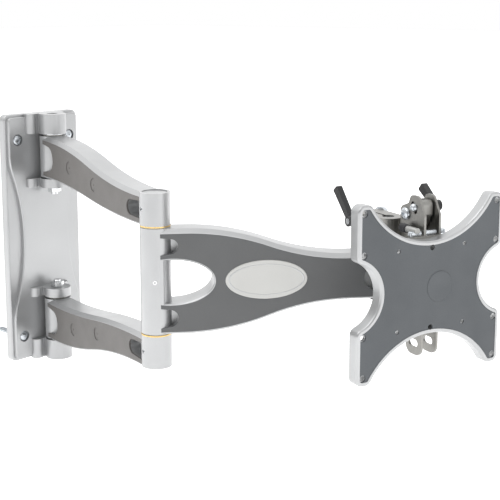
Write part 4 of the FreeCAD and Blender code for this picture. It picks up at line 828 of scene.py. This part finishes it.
class MOUNT_OT_stage(Operator):
    """Camera, pale floor and soft studio light"""

    bl_idname = "mount.stage"
    bl_label = "Stage"

    def execute(self, context):
        stage = context.scene.mount_stage
        camera_data = bpy.data.cameras.new("camera")
        camera_data.lens = stage.lens
        camera_data.sensor_width = 36
        camera_data.shift_y = stage.shift
        camera = bpy.data.objects.new("camera", camera_data)
        context.scene.collection.objects.link(camera)
        camera.location = CAMERA_PLACE
        level = math.cos(CAMERA_PITCH)
        forward = Vector((math.cos(CAMERA_HEADING) * level, math.sin(CAMERA_HEADING) * level,
                          math.sin(CAMERA_PITCH)))
        camera.rotation_euler = forward.to_track_quat("-Z", "Y").to_euler()
        context.scene.camera = camera
        self.make_floor(stage)
        self.make_lights(context, stage, forward)
        context.scene.view_settings.view_transform = "Standard"
        return {"FINISHED"}

    def make_floor(self, stage):
        bpy.ops.object.select_all(action="DESELECT")
        bpy.ops.mesh.primitive_plane_add(size=40, location=(0, 0, stage.floor))
        floor = bpy.context.object
        floor.name = "floor"
        material, tree, shader = new_material("floor_paint", 0.0, Roughness=0.85, Specular_IOR_Level=0.1)
        shader.inputs["Base Color"].default_value = (0.93, 0.93, 0.93, 1)
        shader.inputs["Emission Color"].default_value = (1, 1, 1, 1)
        shader.inputs["Emission Strength"].default_value = 0.6
        coat(floor, material)
        floor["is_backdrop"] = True

    def paint_sky(self, tree, daylight, far):
        """Bright overhead and on the far side, darker on the near side; white where it is seen directly."""
        background = tree.nodes["Background"]
        background.inputs["Color"].default_value = (1, 1, 1, 1)
        place = put(tree, "ShaderNodeTexCoord")
        towards = put(tree, "ShaderNodeVectorMath", operation="DOT_PRODUCT")
        tree.links.new(place.outputs["Generated"], towards.inputs[0])
        towards.inputs[1].default_value = (far.x, far.y, 0.8)
        strength = spread(tree, towards.outputs["Value"], -0.6, 0.9, daylight * 0.7, daylight * 3)
        path = put(tree, "ShaderNodeLightPath")
        seen = put(tree, "ShaderNodeMix", data_type="FLOAT")
        tree.links.new(path.outputs["Is Camera Ray"], seen.inputs[0])
        tree.links.new(strength, seen.inputs[2])
        seen.inputs[3].default_value = 1
        tree.links.new(seen.outputs[0], background.inputs["Strength"])

    def make_lights(self, context, stage, forward):
        world = bpy.data.worlds.new("studio")
        world.use_nodes = True
        self.paint_sky(world.node_tree, stage.daylight, forward)
        context.scene.world = world
        low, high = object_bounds()
        centre = (low + high) / 2
        side = forward.cross(UP).normalized()
        for name, place, width, power in (
                ("key_light", centre - side * 0.9 + UP * 1.9 - forward * 0.5, 1.6, stage.key),
                ("fill_light", centre + side * 1.6 + UP * 0.5 - forward * 1.4, 1.4, stage.key * 0.35)):
            light = bpy.data.lights.new(name, "AREA")
            light.size = width
            light.energy = power
            lamp = bpy.data.objects.new(name, light)
            context.scene.collection.objects.link(lamp)
            lamp.location = place
            lamp.rotation_euler = (centre - place).to_track_quat("-Z", "Y").to_euler()


# ---------------------------------------------------------------- panel and registration
OPERATORS = (
    MOUNT_OT_finishes,
    MOUNT_OT_wood_screws,
    MOUNT_OT_pivot_nuts,
    MOUNT_OT_cover_plugs,
    MOUNT_OT_badge_line,
    MOUNT_OT_grub_screw,
    MOUNT_OT_bracket_screws,
    MOUNT_OT_tilt_pivot,
    MOUNT_OT_packers,
    MOUNT_OT_emblem,
    MOUNT_OT_stage,
)


class MOUNT_PT_panel(Panel):
    """Lists the steps that finish the wall mount"""

    bl_idname = "MOUNT_PT_panel"
    bl_label = "Wall mount"
    bl_space_type = "VIEW_3D"
    bl_region_type = "UI"
    bl_category = "Wall mount"

    def draw(self, context):
        for operator in OPERATORS:
            self.layout.operator(operator.bl_idname)
        for group in (context.scene.mount_finishes, context.scene.mount_details, context.scene.mount_stage):
            for name in group.bl_rna.properties.keys():
                if name not in ("rna_type", "name"):
                    self.layout.prop(group, name)


CLASSES = (MountFinishes, MountDetails, MountStage, *OPERATORS, MOUNT_PT_panel)


def register():
    for item in CLASSES:
        bpy.utils.register_class(item)
    bpy.types.Scene.mount_finishes = PointerProperty(type=MountFinishes)
    bpy.types.Scene.mount_details = PointerProperty(type=MountDetails)
    bpy.types.Scene.mount_stage = PointerProperty(type=MountStage)


def unregister():
    del bpy.types.Scene.mount_stage
    del bpy.types.Scene.mount_details
    del bpy.types.Scene.mount_finishes
    for item in reversed(CLASSES):
        bpy.utils.unregister_class(item)


def main():
    register()
    bpy.ops.mount.finishes()
    bpy.ops.mount.wood_screws()
    bpy.ops.mount.pivot_nuts()
    bpy.ops.mount.cover_plugs()
    bpy.ops.mount.badge_line()
    bpy.ops.mount.grub_screw()
    bpy.ops.mount.bracket_screws()
    bpy.ops.mount.tilt_pivot()
    bpy.ops.mount.packers()
    bpy.ops.mount.emblem()
    bpy.ops.mount.stage()


if __name__ == "__main__":
    main()
